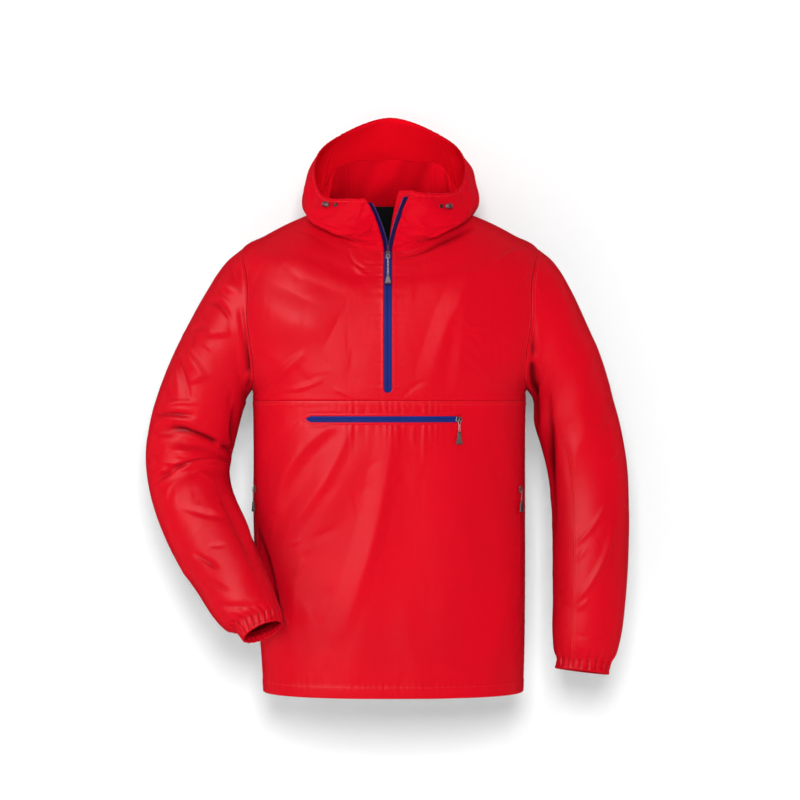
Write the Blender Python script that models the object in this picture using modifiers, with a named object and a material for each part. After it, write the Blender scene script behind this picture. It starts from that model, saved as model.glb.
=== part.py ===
"""Hooded pullover track jacket with a half zip, in its worn shape, open and hollow, with no wearer.

Metres, +Z up. The front faces -Y and the wearer's left is at +X. The origin is at the base of the
wearer's neck, level with the top of the shoulders. Left and right in names are the wearer's.
Tables are in millimetres and degrees.
"""

import math
from collections import namedtuple

import bmesh
import bpy
import numpy as np
from mathutils import Matrix, Vector

MM = 0.001

# Driving sizes
CLOTH = 1.5 * MM  # thickness of every cloth wall
GAP = 0.3 * MM  # space between pieces at a seam
TAPE = 1.0 * MM  # thickness of zip tape, label and flap
CUFF_WALL = 2.2 * MM  # doubled cloth with elastic inside
SQUARENESS = 2.4  # superellipse power of the body's sections
CROWN = 1.6  # how roundly a section rises over the shoulder
ZIP_X = -2.5 * MM  # the front zip's centre line
ZIP_HALF = 6.0 * MM  # from that line to the cloth's edge
ARMHOLE_DEG = 34  # how far round the body an armhole reaches
ROUND_STEPS = 18  # columns round a sleeve

TAPE_WIDTH = 8 * MM  # visible zip tape beside the open part of the front zip
FLAP_WIDTH = 22 * MM
ON_CLOTH = CLOTH / 2 + GAP + TAPE / 2  # from a panel's middle to the middle of tape laid on it
POCKET_Z = -295 * MM
POCKET_HALF = 4 * MM
POCKET_X = (-123 * MM, 97 * MM)
SIDE_ZIP_HIGH = -399 * MM
SIDE_ZIP_LOW = -560 * MM
SIDE_ZIP_DEG = {1: -21.5, -1: -163.5}  # where round the body each side pocket opens
SIDE_ZIP_HALF_DEG = 0.7
LABEL_HALF = 24 * MM
POCKET_SLIDER_PAST = 3 * MM  # the pocket's slider stands just past the end of its tape
SLIDER_THICK = 2.6 * MM
SLIDER_TAPER = 0.8
BAIL_WIRE = 0.6 * MM
BAIL_HEIGHT = 2.4 * MM  # from the slider's face to the middle of its bail
BAIL_LEVELS = tuple(z * MM for z in (3.6, 3.4, 2.4, -1.8, -3.0, -3.2))  # along the slider
LINK_WIRE = 1.0 * MM
LINK_HALF = 2.2 * MM
LINK_CORNER = 0.7 * MM
HINGE_CLEARANCE = 0.35 * MM  # between the slider's face and the link's wire
HINGE_DROP = -0.6 * MM
GRIP_WIDTH = 10 * MM
GRIP_THICK = 2.2 * MM
GRIP_TAPER = 0.45
Pull = namedtuple("Pull", "slider_wide slider_tall link_long grip_long finish")
PULLS = {
    "front": Pull(7 * MM, 12 * MM, 38 * MM, 15 * MM, "grip"),
    "pocket": Pull(10 * MM, 7 * MM, 17 * MM, 18 * MM, "grip"),
    "side_left": Pull(6 * MM, 11 * MM, 17 * MM, 15 * MM, "dark_grip"),
    "side_right": Pull(6 * MM, 11 * MM, 17 * MM, 15 * MM, "dark_grip"),
}
TOGGLE_HALF = (7 * MM, 3.6 * MM, 4.4 * MM)
ToggleSpot = namedtuple("ToggleSpot", "toggle_rib toggle_level eyelet_rib eyelet_level")
TOGGLES = {"left": ToggleSpot(1.53, 8.08, 1.36, 8.14), "right": ToggleSpot(8.3, 8.4, 8.54, 8.48)}
EYELET = 2.6 * MM
EYELET_WIRE = 0.7 * MM

# Sections of the body from hem to neck seam: centre x, half width, depth in front of and behind
# the side line, and height at the front, the side and the back.
BodySection = namedtuple("BodySection", "centre_x half_width front back z_front z_side z_back")
BODY = {
    "hem": BodySection(5.0, 194, 120, 112, -702, -702, -702),
    "low_hip": BodySection(4.0, 197, 121, 112, -640, -640, -640),
    "hip": BodySection(1.0, 201, 122, 111, -550, -550, -550),
    "waist": BodySection(-1.0, 203, 123, 110, -450, -450, -450),
    "rib": BodySection(-1.0, 203, 127, 113, -345, -345, -345),
    "chest_seam": BodySection(-1.0, 204, 130, 118, -268, -268, -268),
    "underarm": BodySection(-1.0, 206, 131, 121, -250, -250, -250),
    "armhole_low": BodySection(-1.0, 232, 131, 124, -207, -198, -202),
    "armhole_mid": BodySection(-1.0, 245, 128, 123, -165, -142, -152),
    "armhole_high": BodySection(-0.5, 240, 120, 118, -130, -90, -104),
    "shoulder": BodySection(0.0, 221, 110, 110, -101, -41, -62),
    "slope_low": BodySection(0.0, 187, 101, 101, -84, -21, -36),
    "slope_mid": BodySection(0.0, 155, 94, 91, -70, -4, -9),
    "slope_high": BodySection(0.0, 123, 87, 81, -58, 10, 13),
    "neck_seam": BodySection(0.0, 95, 81, 72, -49, 22, 30),
}
ROW = {name: number for number, name in enumerate(BODY)}
ZIP_BOTTOM_ROW = 5.65
SLIDER_ROW = 13.3
SLOPE_ROWS = (11.3, 12.6)  # across the shoulder slope

# Largest soft folds of the body's front: from and to in x and z, width, and how far they stand out.
Fold = namedtuple("Fold", "start_x start_z end_x end_z width height")
BODY_FOLDS = {
    "fan_outer": Fold(-30, -318, -150, -500, 26, 3.5),
    "fan_inner": Fold(0, -322, -60, -690, 30, 4.0),
    "fan_left": Fold(60, -322, 100, -600, 34, 3.0),
    "chest_right": Fold(-60, -95, -185, -190, 34, 3.5),
    "chest_left": Fold(60, -95, 190, -150, 36, 3.0),
    "waist_left": Fold(185, -420, 110, -640, 30, -3.0),
}

# Sections of each sleeve after the armhole: its outer and inner edge seen from the front, the
# depth of its middle and its half depth. The last section is where the cuff starts.
SleeveSection = namedtuple("SleeveSection", "outer_x outer_z inner_x inner_z middle_y half_depth")
SLEEVE_RIGHT = {
    "cap": SleeveSection(-247, -63, -214, -262, 0, 75),
    "cap_low": SleeveSection(-276, -107, -217, -268, 0, 72),
    "bicep_high": SleeveSection(-302, -154, -217, -273, 1, 69),
    "bicep": SleeveSection(-326, -202, -221, -284, 2, 67),
    "bicep_low": SleeveSection(-347, -255, -226, -303, 3, 66),
    "above_elbow": SleeveSection(-361, -306, -233, -332, 3, 65),
    "elbow": SleeveSection(-366, -355, -239, -360, 0, 63),
    "below_elbow": SleeveSection(-358, -409, -240.5, -378, -9, 61),
    "forearm_high": SleeveSection(-340, -458, -232, -411, -30, 58),
    "forearm": SleeveSection(-313, -509, -212, -455, -58, 54),
    "forearm_low": SleeveSection(-280, -553, -188, -500, -88, 50),
    "wrist_high": SleeveSection(-256, -585, -172, -536, -113, 45),
    "wrist": SleeveSection(-238, -601, -163, -561, -125, 39),
    "cuff": SleeveSection(-224, -602, -158, -576, -131, 31),
}
SLEEVE_LEFT = {
    "cap": SleeveSection(246, -62, 213, -262, 0, 75),
    "cap_low": SleeveSection(273, -107, 215, -268, 0, 72),
    "bicep_high": SleeveSection(295, -154, 216, -272, 1, 69),
    "bicep": SleeveSection(317, -205, 216, -283, 2, 66),
    "bicep_low": SleeveSection(333, -259, 217, -304, 2, 64),
    "above_elbow": SleeveSection(346, -310, 227, -337, 0, 62),
    "elbow": SleeveSection(355, -367, 237, -380, -5, 60),
    "below_elbow": SleeveSection(357, -425, 242, -428, -10, 58),
    "forearm_high": SleeveSection(356, -480, 243, -477, -16, 56),
    "forearm": SleeveSection(354, -528, 243, -524, -21, 54),
    "forearm_low": SleeveSection(350, -572, 243, -567, -26, 51),
    "wrist_high": SleeveSection(345, -612, 242, -606, -30, 47),
    "wrist": SleeveSection(337, -643, 244, -636, -33, 42),
    "cuff": SleeveSection(328, -658, 249, -651, -35, 34),
}
# A cuff's far end, in the same columns.
CUFF_END = {
    "right": SleeveSection(-212, -616, -156, -588, -138, 29),
    "left": SleeveSection(325, -674, 246, -664, -37, 33),
}
# Where a sleeve's two seams run, counted in columns from the shoulder round the front.
SLEEVE_SEAMS = {"right": (7, 13), "left": (6, 12)}

# The elbow's deep creases and the longest folds of each sleeve: place along and round it at both
# ends, in sections and degrees, width in sections, and how far they stand out.
SleeveFold = namedtuple("SleeveFold", "start_place start_turn end_place end_turn width height")
SLEEVE_FOLDS = {
    "right": {
        "elbow_crease": SleeveFold(6.0, 55, 6.9, 170, 0.42, -9.0),
        "elbow_roll": SleeveFold(6.9, 60, 7.5, 165, 0.45, 4.0),
        "below_crease": SleeveFold(8.2, 60, 7.8, 150, 0.40, -5.0),
        "outer_roll": SleeveFold(5.2, 20, 5.7, 90, 0.40, 3.5),
    },
    "left": {
        "elbow_fold": SleeveFold(6.2, 60, 8.4, 120, 0.55, -3.5),
        "forearm_fold": SleeveFold(8.2, 40, 11.0, 110, 0.60, 3.5),
        "back_fold": SleeveFold(6.0, 300, 7.2, 230, 0.50, -5.0),
    },
}

# The hood lies back. Its cloth rises from the neck seam to a ridge, drops behind it into a bag and
# rises again to the rim. Each row is a level; columns are how far out from the seam and how high,
# at the side, at the back corner and at the centre back.
HoodLevel = namedtuple("HoodLevel", "side_out side_z corner_out corner_z back_out back_z")
HOOD_LEVELS = {
    "seam": HoodLevel(0, 22, 0, 28, 0, 30),
    "wall": HoodLevel(-4, 36, 0, 58, 4, 62),
    "ridge": HoodLevel(-4, 48, 4, 91, 12, 100),
    "tuck": HoodLevel(6, 40, 15, 72, 26, 76),
    "drop": HoodLevel(15, 29, 29, 30, 38, 8),
    "floor": HoodLevel(25, 17, 44, 4, 56, -42),
    "bulge": HoodLevel(34, 21, 62, 12, 82, -20),
    "flank": HoodLevel(36, 43, 64, 50, 88, 46),
    "crown": HoodLevel(30, 66, 48, 97, 62, 124),
    "rim": HoodLevel(17, 87, 20, 131, 38, 168),
}
# Front ribs of the hood, each a curve from the neck seam over a bulge to the rim: angle of its seam
# point, the point that the bulge leans to, the rim, and how much lower the right rim is.
HoodRib = namedtuple("HoodRib", "angle lean_x lean_y lean_z rim_x rim_y rim_z right_drop")
HOOD_RIBS = {
    "front": HoodRib(None, 20, -98, 10, 34, -98, 40, 12),
    "collar": HoodRib(-68, 62, -112, -40, 56, -94, 36, 8),
    "cord": HoodRib(-45, 136, -92, -34, 100, -56, 44, 8),
}
HOOD_RISE = 15 * MM  # how far the hood stands up from its seam before it leans out
CENTRE_PANEL = (4.15, 5.85)  # ribs between which the hood's middle panel runs

# Colour, roughness and metallic value of each finish
MATERIALS = {
    "shell": ((0.78, 0.012, 0.022, 1), 0.55, 0.0),
    "trim": ((0.03, 0.08, 0.34, 1), 0.5, 0.0),
    "label": ((0.012, 0.012, 0.015, 1), 0.7, 0.0),
    "metal": ((0.62, 0.6, 0.6, 1), 0.35, 0.9),
    "grip": ((0.32, 0.3, 0.31, 1), 0.5, 0.0),
    "dark_grip": ((0.05, 0.04, 0.045, 1), 0.5, 0.0),
}


def material(name, kind):
    made = bpy.data.materials.new(name)
    made.use_nodes = True
    colour, roughness, metallic = MATERIALS[kind]
    shader = made.node_tree.nodes["Principled BSDF"]
    shader.inputs["Base Color"].default_value = colour
    shader.inputs["Roughness"].default_value = roughness
    shader.inputs["Metallic"].default_value = metallic
    return made


def spline(rows, at):
    """A Catmull-Rom curve through the rows of a table, read at real row numbers."""
    rows = np.asarray(rows, float)
    last = len(rows) - 1
    at = np.clip(np.asarray(at, float), 0, last)
    i = np.minimum(at.astype(int), last - 1)
    t = (at - i).reshape(at.shape + (1,) * (rows.ndim - 1))
    p0, p1, p2, p3 = (rows[np.clip(i + k, 0, last)] for k in (-1, 0, 1, 2))
    return 0.5 * (
        2 * p1 + (p2 - p0) * t + (2 * p0 - 5 * p1 + 4 * p2 - p3) * t**2 + (3 * (p1 - p2) + p3 - p0) * t**3
    )


def fold_height(across, along, folds):
    """The sum of soft ridges and troughs, each a line in a plane with a bell-shaped section."""
    height = np.zeros(np.broadcast(across, along).shape)
    for start_a, start_b, end_a, end_b, width, depth in folds:
        step = np.array([end_a - start_a, end_b - start_b])
        length = np.hypot(*step)
        da, db = across - start_a, along - start_b
        share = (da * step[0] + db * step[1]) / length**2
        off = np.hypot(da - np.clip(share, 0, 1) * step[0], db - np.clip(share, 0, 1) * step[1])
        fade = np.sin(np.pi * np.clip(share * 0.84 + 0.08, 0, 1)) ** 0.7
        height += depth * fade * np.exp(-((off / width) ** 2))
    return height


def body(angle, row):
    """A point of the body: angle in radians, -90 degrees at the front and 0 at the wearer's left."""
    angle, row = np.broadcast_arrays(np.asarray(angle, float), np.asarray(row, float))
    centre, half, front, back, z_front, z_side, z_back = np.moveaxis(spline(list(BODY.values()), row), -1, 0)
    c, s = np.cos(angle), np.sin(angle)
    x = centre + half * np.sign(c) * np.abs(c) ** (2 / SQUARENESS)
    y = np.where(s < 0, front, back) * np.sign(s) * np.abs(s) ** (2 / SQUARENESS)
    z = z_side + (np.where(s < 0, z_front, z_back) - z_side) * np.abs(s) ** CROWN
    y = y - np.where(s < 0, -s, 0) * fold_height(x, z, BODY_FOLDS.values())
    return np.stack([x, y, z], -1) * MM


def angle_at(x, row):
    """The angle on the body's front where it is x metres across."""
    centre, half = spline(list(BODY.values()), row)[:2] * MM
    share = (x - centre) / half
    return -np.arccos(np.sign(share) * np.abs(share) ** (SQUARENESS / 2))


def zip_angle(side, row, half=ZIP_HALF):
    """Where the cloth's edge beside the front zip is at a row."""
    return angle_at(ZIP_X + side * half, row)


def side_angle(side):
    """Where round the body a side pocket's zip runs."""
    return math.radians(SIDE_ZIP_DEG[side])


def row_at(z):
    """The row of the body at a height below the underarm."""
    rows = np.linspace(0, ROW["underarm"], 601)
    return float(np.interp(z, spline(list(BODY.values()), rows)[:, 5] * MM, rows))


def armhole_angle(row):
    """How far an armhole cuts into the front or back at a row, in radians."""
    share = (row - ROW["underarm"]) / (ROW["shoulder"] - ROW["underarm"])
    inside = np.clip(1 - np.abs(2 * np.clip(share, 0, 1) - 1) ** 3, 0, 1)
    return math.radians(ARMHOLE_DEG) * np.sqrt(inside)


def armhole_row(turn):
    """The row that an armhole passes at a turn: 0 at the shoulder, pi at the underarm."""
    return ROW["underarm"] + (1 + np.cos(turn)) / 2 * (ROW["shoulder"] - ROW["underarm"])


def armhole(side, turn):
    """A point of an armhole, its turn running from the shoulder down the front and up the back."""
    row = armhole_row(turn)
    angle = np.where(np.sin(turn) > 0, -1, 1) * armhole_angle(row)
    return body(angle if side > 0 else np.pi - angle, row)


def sleeve(side, turn, place):
    """A point of a sleeve: place 0 is the armhole and each whole number after it a section."""
    turn, place = np.broadcast_arrays(np.asarray(turn, float), np.asarray(place, float))
    table = SLEEVE_LEFT if side > 0 else SLEEVE_RIGHT
    rows = np.array([*table.values(), CUFF_END["left" if side > 0 else "right"]], float) * MM
    outer, inner = rows[:, [0, 4, 1]], rows[:, [2, 4, 3]]
    middle, reach = (outer + inner) / 2, (outer - inner) / 2
    along = np.gradient(middle, axis=0)
    depth = np.cross(along, reach) * side
    depth *= rows[:, 5:6] / np.linalg.norm(depth, axis=1, keepdims=True)
    c, s = np.cos(turn)[None, ..., None], np.sin(turn)[None, ..., None]
    shaped = (slice(None),) + (None,) * turn.ndim
    rings = middle[shaped] + reach[shaped] * c + depth[shaped] * s
    under = (1 - np.cos(turn))[..., None] / 2
    leave = np.array([side, 0, -0.5]) * (1 - under) + np.array([side, 0, 0]) * under
    first = armhole(side, turn) + leave * (GAP + CLOTH * (0.4 + 0.8 * under))
    rings = np.concatenate([first[None], rings])
    last = len(rings) - 1
    i = np.clip(place.astype(int), 0, last - 1)
    t = (place - i)[..., None]
    picks = tuple(np.indices(turn.shape)) if turn.ndim else ()
    p0, p1, p2, p3 = (rings[(np.clip(i + k, 0, last), *picks)] for k in (-1, 0, 1, 2))
    point = 0.5 * (
        2 * p1 + (p2 - p0) * t + (2 * p0 - 5 * p1 + 4 * p2 - p3) * t**2 + (3 * (p1 - p2) + p3 - p0) * t**3
    )
    centre = spline(np.concatenate([rings[:1].mean(tuple(range(1, rings.ndim - 1))), middle]), place)
    folds = SLEEVE_FOLDS["left" if side > 0 else "right"].values()
    scaled = [(a, b / 60, c2, d / 60, width, depth_) for a, b, c2, d, width, depth_ in folds]
    height = fold_height(place, np.degrees(turn % (2 * np.pi)) / 60, scaled) * MM
    out = point - centre
    return point + out / np.maximum(np.linalg.norm(out, axis=-1, keepdims=True), 1e-9) * height[..., None]


def hood_net():
    """The hood's control points, ribs from the left front round the back to the right front."""
    levels = np.array(list(HOOD_LEVELS.values()), float) * MM
    count = len(levels)
    net = []
    for side in (1, -1):
        half = []
        for rib in HOOD_RIBS.values():
            if rib.angle is None:
                turn, offset = zip_angle(side, ROW["neck_seam"]), ZIP_X
            else:
                turn, offset = math.radians(rib.angle if side > 0 else 180 - rib.angle), 0
            seam = body(turn, ROW["neck_seam"])
            drop = rib.right_drop if side < 0 else 0
            lean = np.array([rib.lean_x * side, rib.lean_y, rib.lean_z]) * MM + [offset, 0, 0]
            rim = np.array([rib.rim_x * side, rib.rim_y, rib.rim_z - drop]) * MM + [offset, 0, 0]
            rise = seam + [0, 0, HOOD_RISE]
            t = np.linspace(0, 1, count)[:, None]
            start, end = (1 - t) ** 3 * seam, t**3 * rim
            half.append(start + 3 * t * (1 - t) ** 2 * rise + 3 * t**2 * (1 - t) * lean + end)
        for column, turn in ((0, 0), (2, 45), (4, 90)):
            turn = math.radians(turn)
            seam = body(turn if side > 0 else math.pi - turn, ROW["neck_seam"])
            out = np.array([side * math.cos(turn), math.sin(turn)])
            rib = np.empty((count, 3))
            rib[:, :2] = seam[:2] + out * levels[:, column : column + 1]
            rib[:, 2] = levels[:, column + 1]
            rib[0] = seam
            half.append(rib)
        net.append(half)
    ribs = [*net[0], *net[1][-2::-1]]
    return np.stack(ribs, 1)


def rib_angles():
    """Where the foot of each of the hood's ribs stands on the neck seam."""
    left_front, right_front = (math.degrees(zip_angle(side, ROW["neck_seam"])) for side in (1, -1))
    front = [HOOD_RIBS[name].angle for name in ("collar", "cord")]
    mirrored = [180 - turn for turn in front[::-1]]
    return np.radians([left_front, *front, 0, 45, 90, 135, 180, *mirrored, right_front + 360])


HOOD_NET = hood_net()
RIB_ANGLES = rib_angles()


def hood(rib, level):
    """A point of the hood: rib 0 is the left front edge, 5 the centre back and 10 the right front."""
    rib, level = np.broadcast_arrays(np.asarray(rib, float), np.asarray(level, float))
    pairs = zip(rib.ravel(), level.ravel())
    flat = [spline(spline(HOOD_NET, one_level), one_rib) for one_rib, one_level in pairs]
    points = np.reshape(flat, rib.shape + (3,))
    foot = body(spline(RIB_ANGLES, rib), ROW["neck_seam"]) - spline(HOOD_NET[0], rib)
    return points + foot * (np.clip((4 - level) / 3, 0, 1) ** 2)[..., None]


def normal(surface, a, b, step=1e-3):
    """The unit normal of a surface at its two parameters."""
    across = surface(a + step, b) - surface(a - step, b)
    along = surface(a, b + step) - surface(a, b - step)
    n = np.cross(across, along)
    return n / np.linalg.norm(n, axis=-1, keepdims=True)


def drawn_in(points, sides, by=0.8 * GAP):
    """The grid with the chosen edges (first row, last row, first column, last column) moved in."""
    points = points.copy()
    for number, wanted in enumerate(sides):
        if not wanted:
            continue
        view = points.swapaxes(0, 1) if number > 1 else points
        edge, inner = ((0, 1), (-1, -2))[number % 2]
        step = view[inner] - view[edge]
        view[edge] += step / np.linalg.norm(step, axis=-1, keepdims=True) * by
    return points


def finish(obj, colour, smooth_angle=40):
    obj.data.materials.clear()
    obj.data.materials.append(material(obj.name, colour))
    obj.data.shade_smooth()
    obj.data.set_sharp_from_angle(angle=math.radians(smooth_angle))
    return obj


def new_object(name, bm, colour):
    mesh = bpy.data.meshes.new(name)
    bm.to_mesh(mesh)
    bm.free()
    obj = bpy.data.objects.new(name, mesh)
    garment.objects.link(obj)
    return finish(obj, colour)


def cloth(name, points, colour="shell", thickness=CLOTH, closed=False, slit=None):
    """A cloth wall: an open grid through the points, thickened equally to both sides."""
    rows, columns = points.shape[:2]
    bm = bmesh.new()
    bmesh.ops.create_grid(bm, x_segments=columns - 1, y_segments=rows - 1, size=1)
    for vert in bm.verts:
        column = round((vert.co.x + 1) / 2 * (columns - 1))
        row = round((vert.co.y + 1) / 2 * (rows - 1))
        vert.co = (column, row, 0)
    if slit:
        cut = [face for face in bm.faces if slit(*face.calc_center_median().xy)]
        bmesh.ops.delete(bm, geom=cut, context="FACES")
    for vert in bm.verts:
        vert.co = points[round(vert.co.y), round(vert.co.x)]
    if closed:
        bmesh.ops.remove_doubles(bm, verts=bm.verts, dist=1e-6)
    bmesh.ops.recalc_face_normals(bm, faces=bm.faces)
    obj = new_object(name, bm, colour)
    wall = obj.modifiers.new("wall", "SOLIDIFY")
    wall.thickness = thickness
    wall.offset = 0
    return obj


def body_grid(left, right, rows, columns, out=0):
    """Points of the body between two angles, which may depend on the row, moved out by a distance."""
    share = np.linspace(0, 1, columns + 1)
    angles = np.array([left(row) + (right(row) - left(row)) * share for row in rows])
    rows = np.array(rows)[:, None]
    grid = body(angles, rows)
    if out:
        grid = grid + normal(body, angles, rows) * out
    return grid


def make_body():
    armhole_rows = armhole_row(np.linspace(np.pi, 0, ROUND_STEPS // 2 + 1))
    upper_rows = [ROW["chest_seam"], ZIP_BOTTOM_ROW, *armhole_rows, *SLOPE_ROWS, ROW["neck_seam"]]
    lower_rows = np.linspace(0, ROW["chest_seam"], 11)
    right = body_grid(lambda row: -np.pi + armhole_angle(row), lambda row: zip_angle(-1, row), upper_rows, 11)
    left = body_grid(lambda row: zip_angle(1, row), lambda row: -armhole_angle(row), upper_rows, 11)
    grid = drawn_in(np.concatenate([right, left], 1), (1, 1, 1, 1))
    cloth("front_upper", grid, slit=lambda column, row: 11 < column < 12 and row > 1)
    grid = body_grid(lambda row: -np.pi, lambda row: 0, lower_rows, 22)
    cloth("front_lower", drawn_in(grid, (0, 1, 1, 1)))
    rows = [*lower_rows[:-1], *upper_rows]
    grid = body_grid(armhole_angle, lambda row: np.pi - armhole_angle(row), rows, 16)
    cloth("back", drawn_in(grid, (0, 1, 1, 1)))


def make_sleeve(name, side):
    first, second = SLEEVE_SEAMS[name]
    places = np.array([0, 0.5, 1, 2, 3, 4, 5, 6, 6.5, 7, 7.5, 8, 9, 10, 11, 12, 13, 14], float)
    for piece, start, end in (("top", second - ROUND_STEPS, first), ("under", first, second)):
        turns = np.radians(np.arange(start, end + 1) * 360 / ROUND_STEPS)
        grid = sleeve(side, turns[None, :], places[:, None])
        cloth(f"sleeve_{name}_{piece}", drawn_in(grid, (0, 1, 1, 1), 1.2 * GAP))
    turns = np.radians(np.arange(ROUND_STEPS + 1) * 360 / ROUND_STEPS)
    grid = sleeve(side, turns[None, :], np.array([14.06, 14.5, 15])[:, None])
    cloth(f"cuff_{name}", drawn_in(grid, (1, 0, 0, 0), GAP), thickness=CUFF_WALL, closed=True)


def make_hood():
    levels = np.array([0, 1, 1.5, 2, 2.5, 3, 4, 4.5, 5, 5.5, 6, 7, 8, 8.6, 9])
    low, high = CENTRE_PANEL
    for name, ribs, seams in (
        ("hood_side_left", np.linspace(0, low, 11), (0, 0, 0, 1)),
        ("hood_centre", np.linspace(low, high, 7), (0, 0, 1, 1)),
        ("hood_side_right", np.linspace(high, 10, 11), (0, 0, 1, 0)),
    ):
        foot = np.interp(np.abs(ribs - 5), (2.4, 3.0), (0.1, 0.65))
        rows = np.broadcast_to(levels[:, None], (len(levels), len(ribs))).copy()
        rows[0] = foot
        cloth(name, drawn_in(hood(ribs[None, :], rows), seams))


def make_tapes():
    rows = np.linspace(ZIP_BOTTOM_ROW, ROW["neck_seam"], 12)
    half = ZIP_HALF - GAP - 0.1 * MM
    grid = body_grid(lambda row: zip_angle(-1, row, half), lambda row: zip_angle(1, row, half), rows, 2)
    grid = drawn_in(grid, (1, 1, 0, 0), 2 * GAP)
    cloth("zip_tape_front", grid, "trim", TAPE)
    levels = np.linspace(0.3, 8.9, 10)
    share = np.linspace(0, 1, 3)[None, :, None]
    for name, rib, side in (("left", 0, 1), ("right", 10, -1)):
        edge = hood(rib, levels)
        inward = np.array([-side, 0.25, 0])
        width = np.minimum(TAPE_WIDTH, np.abs(edge[:, 0] - ZIP_X) - 5 * GAP)[:, None, None]
        grid = edge[:, None] + inward * (2 * GAP + share * width)
        cloth(f"zip_tape_{name}", grid, "trim", TAPE)
    edge = hood(0, levels)[:, None]
    width = FLAP_WIDTH * (0.25 + 0.75 * levels / 9)[:, None, None]
    grid = edge + np.array([0.004, 0.004, 0.002]) + np.array([-1, 0.3, 0]) * share * width
    cloth("zip_flap", grid, "shell", CLOTH)
    row = row_at(POCKET_Z)
    start, end = (angle_at(x, row) for x in POCKET_X)
    rows = [row_at(POCKET_Z - POCKET_HALF), row, row_at(POCKET_Z + POCKET_HALF)]
    grid = body_grid(lambda row: start, lambda row: end, rows, 14, ON_CLOTH)
    cloth("zip_tape_pocket", grid, "trim", TAPE)
    for name, side in (("left", 1), ("right", -1)):
        angle = side_angle(side)
        half = math.radians(SIDE_ZIP_HALF_DEG)
        rows = [row_at(z) for z in np.linspace(SIDE_ZIP_LOW, SIDE_ZIP_HIGH, 5)]
        grid = body_grid(lambda row: angle - half, lambda row: angle + half, rows, 2, ON_CLOTH)
        cloth(f"zip_tape_side_{name}", grid, "shell", TAPE)


def make_label():
    rows = [*SLOPE_ROWS, ROW["neck_seam"] - 0.1]
    left, right = lambda row: -angle_at(LABEL_HALF, row), lambda row: -angle_at(-LABEL_HALF, row)
    cloth("neck_label", body_grid(left, right, rows, 4, -ON_CLOTH - GAP), "label", TAPE)


def frame_on_body(angle, row, out):
    """Axes that stand on the body: X runs round it, Z up along it and Y into it."""
    into = -Vector(normal(body, angle, row))
    across = into.cross((0, 0, 1)).normalized()
    place = Vector(body(angle, row)) - into * out
    return Matrix.Translation(place) @ Matrix((across, into, across.cross(into))).transposed().to_4x4()


def rod(name, points, radius, kind, cyclic=False, keep=True):
    """A wire or rod as a poly curve with a round section, made a mesh."""
    curve = bpy.data.curves.new(name, "CURVE")
    curve.dimensions = "3D"
    curve.bevel_depth = radius
    curve.bevel_resolution = 2
    curve.use_fill_caps = not cyclic
    line = curve.splines.new("POLY")
    line.points.add(len(points) - 1)
    for point, at in zip(line.points, points):
        point.co = (*at, 1)
    line.use_cyclic_u = cyclic
    source = bpy.data.objects.new(name + "_curve", curve)
    garment.objects.link(source)
    mesh = bpy.data.meshes.new_from_object(source.evaluated_get(bpy.context.evaluated_depsgraph_get()))
    bpy.data.objects.remove(source)
    bm = bmesh.new()
    bm.from_mesh(mesh)
    bpy.data.meshes.remove(mesh)
    bmesh.ops.remove_doubles(bm, verts=bm.verts, dist=1e-6)
    bmesh.ops.recalc_face_normals(bm, faces=bm.faces)
    if keep:
        return new_object(name, bm, kind)
    cutter_mesh = bpy.data.meshes.new(name)
    bm.to_mesh(cutter_mesh)
    bm.free()
    cutter = bpy.data.objects.new(name, cutter_mesh)
    cutters.objects.link(cutter)
    cutter.hide_render = True
    cutter.display_type = "WIRE"
    return cutter


def block(name, size, kind, taper=1.0, bevel=0.4 * MM):
    """A box centred on its origin whose upper face is narrower by the taper."""
    bm = bmesh.new()
    bmesh.ops.create_cube(bm, size=1)
    for vert in bm.verts:
        narrow = taper if vert.co.z > 0 else 1
        vert.co = (vert.co.x * size[0] * narrow, vert.co.y * size[1], vert.co.z * size[2])
    obj = new_object(name, bm, kind)
    edge = obj.modifiers.new("edge", "BEVEL")
    edge.width = bevel
    edge.segments = 2
    return obj


def make_pull(name, matrix, pull):
    """A zip slider with its bail, and the link and grip that hang from it and swing about X."""
    size = (pull.slider_wide, SLIDER_THICK, pull.slider_tall)
    slider = block(f"slider_{name}", size, "metal", SLIDER_TAPER)
    slider.data.transform(Matrix.Translation((0, -SLIDER_THICK / 2, 0)))
    face = -SLIDER_THICK
    rise = (face / 2, face - BAIL_HEIGHT / 3, face - BAIL_HEIGHT)
    arch = [(0, y, z) for y, z in zip((*rise, *rise[::-1]), BAIL_LEVELS)]
    bail = rod(f"bail_{name}", arch, BAIL_WIRE, "metal", keep=False)
    join = slider.modifiers.new("bail", "BOOLEAN")
    join.operation = "UNION"
    join.object = bail
    bail.parent = slider
    slider.matrix_world = matrix
    hinge = bpy.data.objects.new(f"hinge_{name}", None)
    garment.objects.link(hinge)
    out = face - LINK_WIRE / 2 - HINGE_CLEARANCE
    hinge.matrix_world = matrix @ Matrix.Translation((0, out, HINGE_DROP))
    half, foot, corner = LINK_HALF, -pull.link_long, LINK_CORNER
    right_side = [(half - corner, 0), (half, -corner), (half, foot + corner), (half - corner, foot)]
    left_side = [(-x, z) for x, z in right_side[::-1]]
    loop = [(x, 0, z) for x, z in right_side + left_side]
    link = rod(f"link_{name}", loop, LINK_WIRE / 2, "metal", cyclic=True)
    link.parent = hinge
    grip = block(f"grip_{name}", (GRIP_WIDTH, GRIP_THICK, pull.grip_long), pull.finish, GRIP_TAPER)
    top_of_grip = foot - LINK_WIRE / 2 - GAP
    grip.data.transform(Matrix.Translation((0, 0, top_of_grip - pull.grip_long / 2)))
    grip.parent = hinge


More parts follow.
